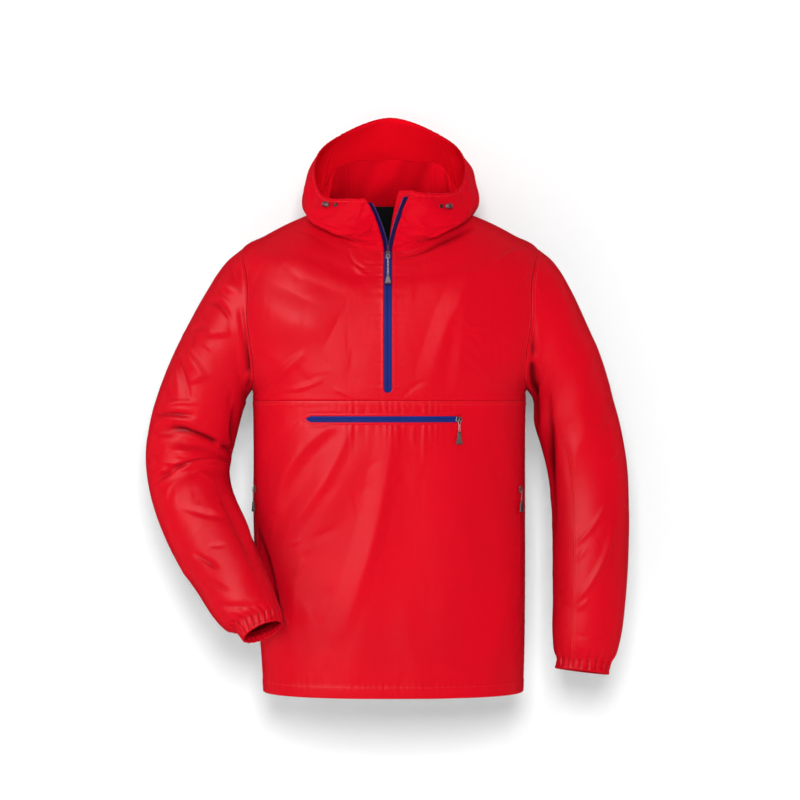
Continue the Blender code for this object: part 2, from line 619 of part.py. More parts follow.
def make_pulls():
    pocket_row, side_row = row_at(POCKET_Z), row_at(SIDE_ZIP_HIGH)
    spots = {
        "front": (zip_angle(0, SLIDER_ROW), SLIDER_ROW),
        "pocket": (angle_at(POCKET_X[1] + POCKET_SLIDER_PAST, pocket_row), pocket_row),
        "side_left": (side_angle(1), side_row),
        "side_right": (side_angle(-1), side_row),
    }
    for name, pull in PULLS.items():
        lift = 0 if name == "front" else ON_CLOTH
        make_pull(name, frame_on_body(*spots[name], lift + TAPE / 2 + GAP), pull)


def hood_frame(rib, level, lift):
    """Axes that stand on the outside of the hood's front: X runs along the rim and Y out of the cloth."""
    spot = Vector(hood(rib, level))
    out = Vector(normal(hood, np.float64(rib), np.float64(level)))
    if out.dot(Vector((spot.x, spot.y, 0))) < 0:
        out.negate()
    along = Vector(hood(rib + 0.01, level) - hood(rib - 0.01, level)).normalized()
    turn = Matrix((along, out, along.cross(out))).transposed().to_4x4()
    return Matrix.Translation(spot + out * (CLOTH / 2 + GAP + lift)) @ turn


def make_toggles():
    circle = np.linspace(0, 2 * np.pi, 13)[:-1]
    for name, spot in TOGGLES.items():
        bm = bmesh.new()
        bmesh.ops.create_uvsphere(bm, u_segments=16, v_segments=8, radius=1)
        bmesh.ops.scale(bm, verts=bm.verts, vec=TOGGLE_HALF)
        toggle = new_object(f"toggle_{name}", bm, "grip")
        toggle.matrix_world = hood_frame(spot.toggle_rib, spot.toggle_level, TOGGLE_HALF[1])
        ring = [(math.cos(turn) * EYELET, 0, math.sin(turn) * EYELET) for turn in circle]
        eyelet = rod(f"eyelet_{name}", ring, EYELET_WIRE, "dark_grip", cyclic=True)
        eyelet.matrix_world = hood_frame(spot.eyelet_rib, spot.eyelet_level, EYELET_WIRE)


def new_collection(name):
    made = bpy.data.collections.new(name)
    bpy.context.scene.collection.children.link(made)
    return made


for old in list(bpy.data.objects):
    bpy.data.objects.remove(old)
garment = new_collection("track_jacket")
cutters = new_collection("cutters")
make_body()
make_sleeve("right", -1)
make_sleeve("left", 1)
make_hood()
make_tapes()
make_label()
make_pulls()
make_toggles()
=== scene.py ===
# Hooded half-zip wind jacket in its worn shape, hollow, in front of a pale wall.
# Metres, +Z up, front towards -Y. Left and right in names are the wearer's. Tables are in millimetres.
import math

import bmesh
import bpy
import numpy as np
from mathutils import Matrix, Vector


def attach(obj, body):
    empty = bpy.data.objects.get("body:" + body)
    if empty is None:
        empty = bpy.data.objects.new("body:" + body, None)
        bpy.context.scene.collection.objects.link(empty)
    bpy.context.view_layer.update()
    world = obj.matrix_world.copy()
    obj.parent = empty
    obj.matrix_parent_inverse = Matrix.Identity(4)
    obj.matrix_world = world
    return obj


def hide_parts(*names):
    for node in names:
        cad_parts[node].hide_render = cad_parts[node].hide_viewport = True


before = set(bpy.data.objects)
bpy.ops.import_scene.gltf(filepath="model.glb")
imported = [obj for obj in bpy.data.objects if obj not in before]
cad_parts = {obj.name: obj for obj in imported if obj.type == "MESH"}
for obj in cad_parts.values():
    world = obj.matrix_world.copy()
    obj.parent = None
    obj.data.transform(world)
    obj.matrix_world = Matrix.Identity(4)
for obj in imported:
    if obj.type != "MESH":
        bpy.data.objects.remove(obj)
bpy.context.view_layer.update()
mm = 0.001

cameraSetup = {"place": (0.015, -4.0, -0.267), "lens": 120, "sensor": 36, "farthest": 50}

studio = {
    "aim": (0, 0, -0.3),
    "wallY": 0.18,
    "wallTop": 2.2,
    "wallHalf": 4.0,
    "floorFront": -6.0,
    "floorZ": -1.05,
    "coveRadius": 0.12,
    "wallColour": (0.97, 0.97, 0.97),
    "world": (1.0, 1.0, 1.0),
    "worldStrength": 0.41,
}
lights = {
    "key": {"place": (0.05, -4.0, 0.5), "size": 0.9, "watts": 95, "soft": True, "gloss": False},
    "left": {"place": (-3.5, -0.9, 0.3), "size": 1.0, "watts": 22, "soft": True, "gloss": False},
    "sheen": {"place": (-1.8, -2.9, 0.9), "size": 3.0, "watts": 275, "soft": False, "gloss": True},
}

# The same sections as the part's own source, so that each cloth lies on its solid.
bodySections = {  # centreX, halfWidth, front, back, zFront, zSide, zBack
    "hem": (5.0, 194, 120, 112, -702, -702, -702),
    "lowHip": (4.0, 197, 121, 112, -640, -640, -640),
    "hip": (1.0, 201, 122, 111, -550, -550, -550),
    "waist": (-1.0, 203, 123, 110, -450, -450, -450),
    "rib": (-1.0, 203, 127, 113, -345, -345, -345),
    "chestSeam": (-1.0, 204, 130, 118, -268, -268, -268),
    "underarm": (-1.0, 206, 131, 121, -250, -250, -250),
    "armholeLow": (-1.0, 232, 131, 124, -207, -198, -202),
    "armholeMid": (-1.0, 245, 128, 123, -165, -142, -152),
    "armholeHigh": (-0.5, 240, 120, 118, -130, -90, -104),
    "shoulder": (0.0, 221, 110, 110, -101, -41, -62),
    "slopeLow": (0.0, 187, 101, 101, -84, -21, -36),
    "slopeMid": (0.0, 155, 94, 91, -70, -4, -9),
    "slopeHigh": (0.0, 123, 87, 81, -58, 10, 13),
    "neckSeam": (0.0, 95, 81, 72, -49, 22, 30),
}
bodyRows = np.array(list(bodySections.values()))
rowOf = {name: number for number, name in enumerate(bodySections)}
squareness = 2.4  # how square the body is in plan
crown = 1.6  # how late a section rises or falls from its side to its front and back
armholeDegrees = 34
zipX = -2.5
zipHalf = 6.0  # half the width of the slit that the front zip fills
zipBottom = -257.0  # height of the zip's rounded end

bodyFolds = {  # startX, startZ, endX, endZ, width, height
    "fanOuter": (-30, -318, -150, -500, 26, 3.5),
    "fanInner": (0, -322, -60, -690, 30, 4.0),
    "fanLeft": (60, -322, 100, -600, 34, 3.0),
    "chestRight": (-60, -95, -185, -190, 34, 3.5),
    "chestLeft": (60, -95, 190, -150, 36, 3.0),
    "waistLeft": (185, -420, 110, -640, 30, -3.0),
}

sleeveSections = {  # outerX, outerZ, innerX, innerZ, middleY, halfDepth; the last two are the cuff
    -1: [
        (-247, -63, -214, -262, 0, 75),
        (-276, -107, -217, -268, 0, 72),
        (-302, -154, -217, -273, 1, 69),
        (-326, -202, -221, -284, 2, 67),
        (-347, -255, -226, -303, 3, 66),
        (-361, -306, -233, -332, 3, 65),
        (-366, -355, -239, -360, 0, 63),
        (-358, -409, -240.5, -378, -9, 61),
        (-340, -458, -232, -411, -30, 58),
        (-313, -509, -212, -455, -58, 54),
        (-280, -553, -188, -500, -88, 50),
        (-256, -585, -172, -536, -113, 45),
        (-238, -601, -163, -561, -125, 39),
        (-224, -602, -158, -576, -131, 31),
        (-212, -616, -156, -588, -138, 29),
    ],
    1: [
        (246, -62, 213, -262, 0, 75),
        (273, -107, 215, -268, 0, 72),
        (295, -154, 216, -272, 1, 69),
        (317, -205, 216, -283, 2, 66),
        (333, -259, 217, -304, 2, 64),
        (346, -310, 227, -337, 0, 62),
        (355, -367, 237, -380, -5, 60),
        (357, -425, 242, -428, -10, 58),
        (356, -480, 243, -477, -16, 56),
        (354, -528, 243, -524, -21, 54),
        (350, -572, 243, -567, -26, 51),
        (345, -612, 242, -606, -30, 47),
        (337, -643, 244, -636, -33, 42),
        (328, -658, 249, -651, -35, 34),
        (325, -674, 246, -664, -37, 33),
    ],
}
sleeveSeamTurns = {-1: (140, 260), 1: (120, 240)}  # degrees from the shoulder round the front
foldTurn = 60  # degrees of turn that count as one place along the sleeve
sleeveFolds = {  # startPlace, startTurn, endPlace, endTurn, width, height
    -1: [
        (6.0, 55, 6.9, 170, 0.42, -9.0),
        (6.9, 60, 7.5, 165, 0.45, 4.0),
        (8.2, 60, 7.8, 150, 0.40, -5.0),
        (5.2, 20, 5.7, 90, 0.40, 3.5),
    ],
    1: [
        (6.2, 60, 8.4, 120, 0.55, -3.5),
        (8.2, 40, 11.0, 110, 0.60, 3.5),
        (6.0, 300, 7.2, 230, 0.50, -5.0),
    ],
}
cuffStart = 13.97

hoodLevels = {  # sideOut, sideZ, cornerOut, cornerZ, backOut, backZ
    "seam": (0, 22, 0, 28, 0, 30),
    "wall": (-4, 36, 0, 58, 4, 62),
    "ridge": (-4, 48, 4, 91, 12, 100),
    "tuck": (6, 40, 15, 72, 26, 76),
    "drop": (15, 29, 29, 30, 38, 8),
    "floor": (25, 17, 44, 4, 56, -42),
    "bulge": (34, 21, 62, 12, 82, -20),
    "flank": (36, 43, 64, 50, 88, 46),
    "crown": (30, 66, 48, 97, 62, 124),
    "rim": (17, 87, 20, 131, 38, 168),
}
hoodRibs = {  # angle, leanX, leanY, leanZ, rimX, rimY, rimZ, rightDrop
    "front": (None, 20, -98, 10, 34, -98, 40, 12),
    "collar": (-68, 62, -112, -40, 56, -94, 36, 8),
    "cord": (-45, 136, -92, -34, 100, -56, 44, 8),
}
hoodRise = 15
centrePanel = (4.15, 5.85)
lastRib = 10
lastLevel = 9


def smoothStep(start, end, value):
    share = np.clip((value - start) / (end - start), 0, 1)
    return share * share * (3 - 2 * share)


def splineWeights(count, at):
    at = np.clip(np.asarray(at, float), 0, count - 1)
    first = np.minimum(at.astype(int), count - 2)
    t = at - first
    shares = (-t + 2 * t**2 - t**3, 2 - 5 * t**2 + 3 * t**3, t + 4 * t**2 - 3 * t**3, t**3 - t**2)
    return [(np.clip(first + k - 1, 0, count - 1), share / 2) for k, share in enumerate(shares)]


def splineRead(rows, at):
    return sum(rows[place] * share[..., None] for place, share in splineWeights(len(rows), at))


def softFolds(across, along, folds):
    height = np.zeros(np.broadcast(across, along).shape)
    for startA, startB, endA, endB, width, depth in folds:
        stepA, stepB = endA - startA, endB - startB
        share = ((across - startA) * stepA + (along - startB) * stepB) / (stepA**2 + stepB**2)
        near = np.clip(share, 0, 1)
        off = np.hypot(across - startA - near * stepA, along - startB - near * stepB)
        fade = np.sin(np.pi * np.clip(share * 0.84 + 0.08, 0, 1)) ** 0.7
        height += depth * fade * np.exp(-((off / width) ** 2))
    return height


def bodyPoint(angle, row):
    angle, row = np.broadcast_arrays(np.asarray(angle, float), np.asarray(row, float))
    centre, half, front, back, zFront, zSide, zBack = np.moveaxis(splineRead(bodyRows, row), -1, 0)
    c, s = np.cos(angle), np.sin(angle)
    x = centre + half * np.sign(c) * np.abs(c) ** (2 / squareness)
    y = np.where(s < 0, front, back) * np.sign(s) * np.abs(s) ** (2 / squareness)
    z = zSide + (np.where(s < 0, zFront, zBack) - zSide) * np.abs(s) ** crown
    y = y - np.where(s < 0, -s, 0) * softFolds(x, z, bodyFolds.values())
    return np.stack([x, y, z], -1) * mm


def angleAt(x, row):
    centre, half = np.moveaxis(splineRead(bodyRows, np.asarray(row, float)), -1, 0)[:2]
    share = (x - centre) / half
    return -np.arccos(np.sign(share) * np.abs(share) ** (squareness / 2))


def rowAtHeight(z):
    rows = np.linspace(0, rowOf["neckSeam"], 1401)
    return np.interp(z, splineRead(bodyRows, rows)[:, 4], rows)  # on the centre front


def armholeAngle(row):
    share = (row - rowOf["underarm"]) / (rowOf["shoulder"] - rowOf["underarm"])
    inside = np.clip(1 - np.abs(2 * np.clip(share, 0, 1) - 1) ** 3, 0, 1)
    return math.radians(armholeDegrees) * np.sqrt(inside)


def armholeRow(turn):
    return rowOf["underarm"] + (1 + np.cos(turn)) / 2 * (rowOf["shoulder"] - rowOf["underarm"])


def armholePoint(side, turn):
    row = armholeRow(turn)
    angle = np.where(np.sin(turn) > 0, -1, 1) * armholeAngle(row)
    return bodyPoint(angle if side > 0 else np.pi - angle, row)


def sleevePoint(side, turn, place):
    # place 0 is the armhole, and turn 0 the shoulder side
    turn, place = np.broadcast_arrays(np.asarray(turn, float), np.asarray(place, float))
    rows = np.array(sleeveSections[side]) * mm
    outer, inner = rows[:, [0, 4, 1]], rows[:, [2, 4, 3]]
    middle, reach = (outer + inner) / 2, (outer - inner) / 2
    depth = np.cross(np.gradient(middle, axis=0), reach) * side
    depth *= rows[:, 5:6] / np.linalg.norm(depth, axis=1, keepdims=True)
    first = armholePoint(side, turn)
    c, s = np.cos(turn)[..., None], np.sin(turn)[..., None]
    armholeCentre = armholePoint(side, np.linspace(0, 2 * np.pi, 37)[:-1]).mean(0)
    point, centre = 0, 0
    for spot, share in splineWeights(len(rows) + 1, place):
        section = np.maximum(spot - 1, 0)
        ring = middle[section] + reach[section] * c + depth[section] * s
        atArmhole = (spot == 0)[..., None]
        point = point + np.where(atArmhole, first, ring) * share[..., None]
        centre = centre + np.where(atArmhole, armholeCentre, middle[section]) * share[..., None]
    scaled = [
        (startPlace, startTurn / foldTurn, endPlace, endTurn / foldTurn, width, high)
        for startPlace, startTurn, endPlace, endTurn, width, high in sleeveFolds[side]
    ]
    height = softFolds(place, np.degrees(turn % (2 * np.pi)) / foldTurn, scaled) * mm
    out = point - centre
    return point + out / np.maximum(np.linalg.norm(out, axis=-1, keepdims=True), 1e-9) * height[..., None]


def makeHoodNet():
    levels = np.array(list(hoodLevels.values())) * mm
    t = np.linspace(0, 1, len(levels))[:, None]
    sides = []
    for side in (1, -1):
        half = []
        for angle, leanX, leanY, leanZ, rimX, rimY, rimZ, rightDrop in hoodRibs.values():
            if angle is None:
                turn, offset = angleAt(zipX + side * zipHalf, rowOf["neckSeam"]), zipX
            else:
                turn, offset = math.radians(angle if side > 0 else 180 - angle), 0
            seam = bodyPoint(turn, rowOf["neckSeam"])
            drop = rightDrop if side < 0 else 0
            lean = np.array([leanX * side + offset, leanY, leanZ]) * mm
            rim = np.array([rimX * side + offset, rimY, rimZ - drop]) * mm
            rise = seam + [0, 0, hoodRise * mm]
            rib = (1 - t) ** 3 * seam + 3 * t * (1 - t) ** 2 * rise
            half.append(rib + 3 * t**2 * (1 - t) * lean + t**3 * rim)
        for column, degrees in ((0, 0), (2, 45), (4, 90)):
            turn = math.radians(degrees)
            seam = bodyPoint(turn if side > 0 else math.pi - turn, rowOf["neckSeam"])
            out = np.array([side * math.cos(turn), math.sin(turn)])
            rib = np.empty((len(levels), 3))
            rib[:, :2] = seam[:2] + out * levels[:, column : column + 1]
            rib[:, 2] = levels[:, column + 1]
            rib[0] = seam
            half.append(rib)
        sides.append(half)
    return np.stack([*sides[0], *sides[1][-2::-1]], 1)


hoodNet = makeHoodNet()
frontSides = [angleAt(zipX + side * zipHalf, rowOf["neckSeam"]) for side in (1, -1)]
leftFront, rightFront = (math.degrees(angle) for angle in frontSides)
ribAngles = np.radians([leftFront, -68, -45, 0, 45, 90, 135, 180, 225, 248, rightFront + 360])


def hoodPoint(rib, level):
    # rib 0 is the left front edge, 5 the centre back and 10 the right front edge
    rib, level = np.broadcast_arrays(np.asarray(rib, float), np.asarray(level, float))
    point = 0
    for levelSpot, levelShare in splineWeights(len(hoodNet), level):
        for ribSpot, ribShare in splineWeights(hoodNet.shape[1], rib):
            point = point + hoodNet[levelSpot, ribSpot] * (levelShare * ribShare)[..., None]
    turn = splineRead(ribAngles[:, None], rib)[..., 0]
    foot = bodyPoint(turn, rowOf["neckSeam"]) - splineRead(hoodNet[0], rib)
    return point + foot * (np.clip((4 - level) / 3, 0, 1) ** 2)[..., None]


# Grids of points: normals, distances from their edges, and steps of even length
def gridNormals(points):
    across = np.gradient(points, axis=1)
    along = np.gradient(points, axis=0)
    normals = np.cross(across, along)
    return normals / np.maximum(np.linalg.norm(normals, axis=-1, keepdims=True), 1e-12)


def edgeDistances(points):
    # millimetres along the cloth from its first and last row and its first and last column
    found = {}
    for axis, first, last in ((0, "bottom", "top"), (1, "start", "end")):
        lengths = np.linalg.norm(np.diff(points, axis=axis), axis=-1) / mm
        zero = np.zeros_like(np.take(lengths, [0], axis))
        found[first] = np.concatenate([zero, np.cumsum(lengths, axis)], axis)
        found[last] = np.take(found[first], [-1], axis) - found[first]
    return found


edgeSteps = np.array([0, 0.8, 1.7, 2.9, 4.4, 6.2])  # mm from a worked edge


def evenSteps(curve, start, end, step):
    # parameters at even distances along a curve in mm, closer together beside its ends
    tries = np.linspace(start, end, 400)
    lengths = np.linalg.norm(np.diff(curve(tries), axis=0), axis=-1) / mm
    travelled = np.concatenate([[0], np.cumsum(lengths.reshape(len(lengths), -1).max(1))])
    tail = travelled[-1] - edgeSteps[::-1]
    count = max(2, round((tail[0] - edgeSteps[-1]) / step) + 1)
    middle = np.linspace(edgeSteps[-1], tail[0], count)[1:-1]
    return np.interp(np.concatenate([edgeSteps, middle, tail]), travelled, tries)


def stepsUpBody(angles, start, end, step):
    # rows of the body, evenly spaced where they lie furthest apart among these angles
    return evenSteps(lambda rows: bodyPoint(angles[None], rows[:, None]), start, end, step)


def stepsRoundBody(row, start, end, step):
    return evenSteps(lambda angles: bodyPoint(angles, row), start, end, step)


# Folds: lines laid across the cloth, as seen from the front or the back
litFrom = {"above": 0.8, "side": 0.55}  # the side is that of the wearer's right


def creaseLines(x, z, table):
    # startX, startZ, endX, endZ, bow, width of the lit side, width of the dark side, height
    height = np.zeros(x.shape)
    for startX, startZ, endX, endZ, bow, litWidth, darkWidth, depth in table:
        stepX, stepZ = endX - startX, endZ - startZ
        length = math.hypot(stepX, stepZ)
        share = ((x - startX) * stepX + (z - startZ) * stepZ) / length**2
        near = np.clip(share, 0, 1)
        aside = ((x - startX) * stepZ - (z - startZ) * stepX) / length - bow * 4 * near * (1 - near)
        lit = aside * math.copysign(1, (-litFrom["side"] * stepZ - litFrom["above"] * stepX) * depth) > 0
        across = np.abs(aside) / np.where(lit, litWidth, darkWidth)
        beyond = (share - near) * length / max(litWidth, darkWidth)
        reach = (np.sqrt(across**2 + beyond**2 + 0.03) - 0.173) / 0.842  # rounds the crest
        crest = np.clip(1 - reach, 0, 1) ** np.where(lit, 1.25, 1.8)
        fade = np.sin(np.pi * np.clip(share * 0.9 + 0.05, 0.02, 0.98)) ** 0.6
        height += depth * fade * crest
    return height


def scatteredFolds(seed, count, box, heading, lengths, widths, heights):
    # small folds at seeded places inside a box, most of them near one heading
    draw = np.random.default_rng(seed)
    table = []
    for _ in range(count):
        x, z = draw.uniform(box[0], box[1]), draw.uniform(box[2], box[3])
        turn = math.radians(draw.normal(*heading))
        half = draw.uniform(*lengths) / 2
        bow = draw.normal(0, half * 0.12)
        height = draw.uniform(*heights) * draw.choice([-1, 1])
        stepX, stepZ = math.cos(turn) * half, math.sin(turn) * half
        wide = draw.uniform(*widths)
        table.append((x - stepX, z - stepZ, x + stepX, z + stepZ, bow, wide * 1.9, wide, height))
    return table


edging = {
    "felled": (1.9, 5.4),  # from the edge to each row of its stitches
    "seam": 4.0,
    "hem": 18.0,
    "hemStitch": 16.6,
    "tunnel": 6.0,
    "hoodFelled": 4.4,
    "calm": 14,  # a fold rises from a worked edge over this reach
}
creaseShading = {"from": 1.5, "span": 6}  # painted shade: the cloth darkens in hollows of 1.5 mm and is darkest 6 mm further down


def pucker(travel, phase):
    # uneven gathers along a line of stitching
    slow = 1.4 * np.sin(travel / 9.3 + phase) + 0.9 * np.sin(travel / 23.0 + 2 * phase)
    return 0.62 * np.sin(travel / 1.55 + slow + phase) + 0.38 * np.sin(travel / 1.02 + 2 * slow)


def ridge(gap, place, width):
    return np.exp(-(((gap - place) / width) ** 2))


def rolledEdge(gap, width):
    return 1 - np.sqrt(1 - np.clip(1 - gap / width, 0, 1) ** 2)


def seamEdge(gap, travel, phase):
    return -0.9 * ridge(gap, 0, 1.3) + 0.28 * np.exp(-gap / 6) * pucker(travel, phase)


def felledEdge(gap, travel, phase):
    # a lap of 6 mm, stitched down twice
    lap = 0.5 * (1 - smoothStep(5.6, 7.2, gap)) - 0.8 * ridge(gap, 0, 1.1)
    grooves = -0.32 * sum(ridge(gap, place, 0.9) for place in edging["felled"])
    return lap + grooves + 0.42 * np.exp(-np.abs(gap - 5) / 7) * pucker(travel, phase)


def hemEdge(gap, travel, phase):
    # cloth turned up and stitched once along the top of the turning
    width = edging["hem"]
    band = 0.7 * (1 - smoothStep(width - 0.8, width + 0.8, gap))
    worked = band - 0.45 * ridge(gap, edging["hemStitch"], 1.1) - 1.0 * rolledEdge(gap, 1.4)
    return worked + 0.5 * np.exp(-np.abs(gap - width) / 7) * pucker(travel, phase)


def tunnelEdge(gap, travel, phase):
    # a cord runs inside the turned edge
    width = edging["tunnel"]
    inside = np.clip(gap / width, 0, 1)
    bulge = 1.3 * np.sin(np.pi * np.clip(inside * 0.8 + 0.2, 0, 1)) * (gap < width)
    worked = bulge - 0.4 * ridge(gap, width, 1.0) - 1.2 * rolledEdge(gap, 1.2)
    return worked + 0.75 * np.exp(-np.abs(gap - width) / 8) * pucker(travel, phase)


def softEdge(gap, travel, phase):
    return 0.3 * np.exp(-gap / 8) * pucker(travel, phase)


edgeKinds = {"soft": softEdge, "seam": seamEdge, "felled": felledEdge, "hem": hemEdge, "tunnel": tunnelEdge}


def workCloth(points, edges, folds, backFolds, extra, phase, quiet=None):
    # raises folds and worked edges from the plain form, and marks the hollows where shade is painted
    normals = gridNormals(points)
    x, z = points[..., 0] / mm, points[..., 2] / mm
    front = smoothStep(-0.1, 0.35, -normals[..., 1])
    behind = smoothStep(-0.1, 0.35, normals[..., 1])
    height = creaseLines(x, z, folds) * front + creaseLines(x, z, backFolds) * behind
    gaps = edgeDistances(points)
    travel = {"bottom": gaps["start"], "top": gaps["start"], "start": gaps["bottom"], "end": gaps["bottom"]}
    calm = np.ones_like(height)
    for place in edges:
        calm = calm * (0.25 + 0.75 * smoothStep(0, edging["calm"], gaps[place]))
    if quiet is not None:
        calm = calm * quiet(x, z)
    height = height * calm
    # painted shade: how far the cloth darkens, growing in creases deeper than 1.5 mm
    hollow = np.clip((-height - creaseShading["from"]) / creaseShading["span"], 0, 1) ** 1.5
    for number, (place, kind) in enumerate(edges.items()):
        height = height + edgeKinds[kind](gaps[place], travel[place], phase + 1.7 * number)
    if extra is not None:
        height = height + extra(points, gaps)
    return points + normals * height[..., None] * mm, hollow


# Objects and meshes
def newObject(name, data):
    made = bpy.data.objects.new(name, data)
    bpy.context.scene.collection.objects.link(made)
    return made


def meshFrom(name, bm):
    mesh = bpy.data.meshes.new(name)
    bm.to_mesh(mesh)
    bm.free()
    return mesh


def gridMesh(name, points, cut=None, hollow=None, closed=False):
    rows, columns = points.shape[:2]
    bm = bmesh.new()
    bmesh.ops.create_grid(bm, x_segments=columns - 1, y_segments=rows - 1, size=1)
    mesh = meshFrom(name, bm)
    flat = np.empty(len(mesh.vertices) * 3)
    mesh.vertices.foreach_get("co", flat)
    column = np.rint((flat[0::3] + 1) / 2 * (columns - 1)).astype(int)
    row = np.rint((flat[1::3] + 1) / 2 * (rows - 1)).astype(int)
    mesh.vertices.foreach_set("co", points[row, column].ravel())
    gaps = edgeDistances(points)
    middle = gaps["start"] - gaps["start"].mean(1, keepdims=True)
    layout = np.stack([middle, gaps["bottom"]], -1) * mm
    corner = np.empty(len(mesh.loops), int)
    mesh.loops.foreach_get("vertex_index", corner)
    uv = mesh.uv_layers.new(name="cloth")
    uv.data.foreach_set("uv", layout[row, column][corner].ravel())
    marks = mesh.attributes.new("hollow", "FLOAT", "POINT")
    marks.data.foreach_set("value", np.zeros(len(row)) if hollow is None else hollow[row, column])
    if cut is not None or closed:
        gone = np.zeros(points.shape[:2], int) if cut is None else cut.astype(int)
        cutAway = mesh.attributes.new("cutAway", "INT", "POINT")
        cutAway.data.foreach_set("value", gone[row, column])
        bm = bmesh.new()
        bm.from_mesh(mesh)
        layer = bm.verts.layers.int["cutAway"]
        if cut is not None:
            spare = [face for face in bm.faces if all(vert[layer] for vert in face.verts)]
            bmesh.ops.delete(bm, geom=spare, context="FACES")
        if closed:
            bmesh.ops.remove_doubles(bm, verts=bm.verts, dist=1e-6)
        bm.verts.layers.int.remove(layer)
        bm.to_mesh(mesh)
        bm.free()
    mesh.shade_smooth()
    return mesh


def newPiece(name, mesh, material, nodes=(), body="garment", thickness=0, inside=None):
    piece = newObject(name, mesh)
    mesh.materials.append(material)
    if thickness:
        wall = piece.modifiers.new("wall", "SOLIDIFY")
        wall.thickness = thickness * mm
        wall.offset = 0
    if inside:
        mesh.materials.append(inside)
        wall.material_offset = 1
    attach(piece, body)
    if nodes:
        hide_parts(*nodes)
    return piece


def clothPiece(name, points, hollow, nodes, material, thickness, cut=None, inside=None):
    mesh = gridMesh(name, points, cut, hollow)
    return newPiece(name, mesh, material, nodes, thickness=thickness, inside=inside)


def lineAlong(points, place, gap):
    # a line on the cloth at a distance in mm from one of its edges, and the cloth's normals there
    gaps = edgeDistances(points)[place]
    normals = gridNormals(points)
    if place in ("start", "end"):
        gaps, points, normals = gaps.T, points.swapaxes(0, 1), normals.swapaxes(0, 1)
    if place in ("top", "end"):
        gaps, points, normals = gaps[::-1], points[::-1], normals[::-1]
    spots = np.array([np.interp(gap, gaps[:, k], np.arange(len(gaps))) for k in range(gaps.shape[1])])
    low = np.minimum(spots.astype(int), len(gaps) - 2)
    share = (spots - low)[:, None]
    columns = np.arange(gaps.shape[1])
    both = (points, normals)
    return tuple(grid[low, columns] * (1 - share) + grid[low + 1, columns] * share for grid in both)


def standOn(spot, *axes):
    # turns a part's X, Y and Z into these axes and moves it to the spot
    return Matrix.Translation(spot) @ Matrix(axes).transposed().to_4x4()


stitch = {"pitch": 2.9, "long": 2.1, "wide": 0.55, "high": 0.4, "lift": 0.32}


def travelAlong(line):
    return np.concatenate([[0], np.cumsum(np.linalg.norm(np.diff(line, axis=0), axis=1))]) / mm


def readAlong(places, travelled, rows):
    return np.stack([np.interp(places, travelled, rows[:, k]) for k in range(3)], 1)


def addStitches(bm, line, normals):
    # small blocks laid end to end along a line
    travelled = travelAlong(line)
    places = np.arange(stitch["pitch"] / 2, travelled[-1], stitch["pitch"])
    spots = readAlong(places, travelled, line)
    ahead = readAlong(places + 0.8, travelled, line) - spots
    ups = readAlong(places, travelled, normals)
    size = Matrix.Diagonal((stitch["long"] * mm, stitch["wide"] * mm, stitch["high"] * mm, 1))
    for spot, forward, up in zip(spots, ahead, ups):
        forward, up = Vector(forward), Vector(up).normalized()
        if forward.length < 1e-6:
            continue
        forward.normalize()
        across = up.cross(forward).normalized()
        up = forward.cross(across)
        place = standOn(Vector(spot) + up * stitch["lift"] * mm, forward, across, up)
        bmesh.ops.create_cube(bm, size=1, matrix=place @ size)


def stitchPiece(name, lines):
    bm = bmesh.new()
    for line, normals in lines:
        addStitches(bm, line, normals)
    return newPiece(name, meshFrom(name, bm), finish["thread"])


# Materials
def nodeGroup(name, inputs, outputs):
    group = bpy.data.node_groups.new(name, "ShaderNodeTree")
    for label, value in inputs.items():
        socket = group.interface.new_socket(label, in_out="INPUT", socket_type="NodeSocketFloat")
        socket.default_value = value
    for label, kind in outputs.items():
        group.interface.new_socket(label, in_out="OUTPUT", socket_type=kind)
    return group, group.nodes.new("NodeGroupInput"), group.nodes.new("NodeGroupOutput")


def feedNode(tree, node, values):
    # sets a node's inputs, or links them to the outputs of other nodes
    for label, value in values.items():
        socket = node.inputs[label]
        if isinstance(value, bpy.types.NodeSocket):
            tree.links.new(value, socket)
        else:
            socket.default_value = (*value, 1) if socket.type == "RGBA" else value
    return node


def mathNode(tree, operation, *values):
    node = tree.nodes.new("ShaderNodeMath")
    node.operation = operation
    return feedNode(tree, node, dict(enumerate(values))).outputs[0]


def noiseNode(tree, vector, scale, detail, rough, distortion=0.0):
    values = {"Vector": vector, "Scale": scale, "Detail": detail, "Roughness": rough}
    node = tree.nodes.new("ShaderNodeTexNoise")
    return feedNode(tree, node, {**values, "Distortion": distortion}).outputs["Fac"]


def makeWeave():
    # over and under of the threads, read from the cloth's own layout in metres
    inputs = {"Pitch": 0.7, "Slant": 0.0}
    group, given, result = nodeGroup("clothWeave", inputs, {"Height": "NodeSocketFloat"})
    layout = group.nodes.new("ShaderNodeTexCoord").outputs["UV"]
    split = group.nodes.new("ShaderNodeSeparateXYZ")
    group.links.new(layout, split.inputs[0])
    turns = mathNode(group, "DIVIDE", 2 * math.pi * 1000, given.outputs["Pitch"])
    slanted = mathNode(group, "MULTIPLY_ADD", split.outputs[1], given.outputs["Slant"], split.outputs[0])
    warp = mathNode(group, "SINE", mathNode(group, "MULTIPLY", slanted, turns))
    weft = mathNode(group, "SINE", mathNode(group, "MULTIPLY", split.outputs[1], turns))
    group.links.new(mathNode(group, "MULTIPLY", warp, weft), result.inputs["Height"])
    return group


crumpling = {
    "stretch": (1.0, 1.0, 0.32),  # the creases run mostly down the cloth
    "broad": 22.0,
    "small": 95.0,
    "tone": 7.0,
    "broadHeight": 1.6,
    "smallHeight": 0.35,
}


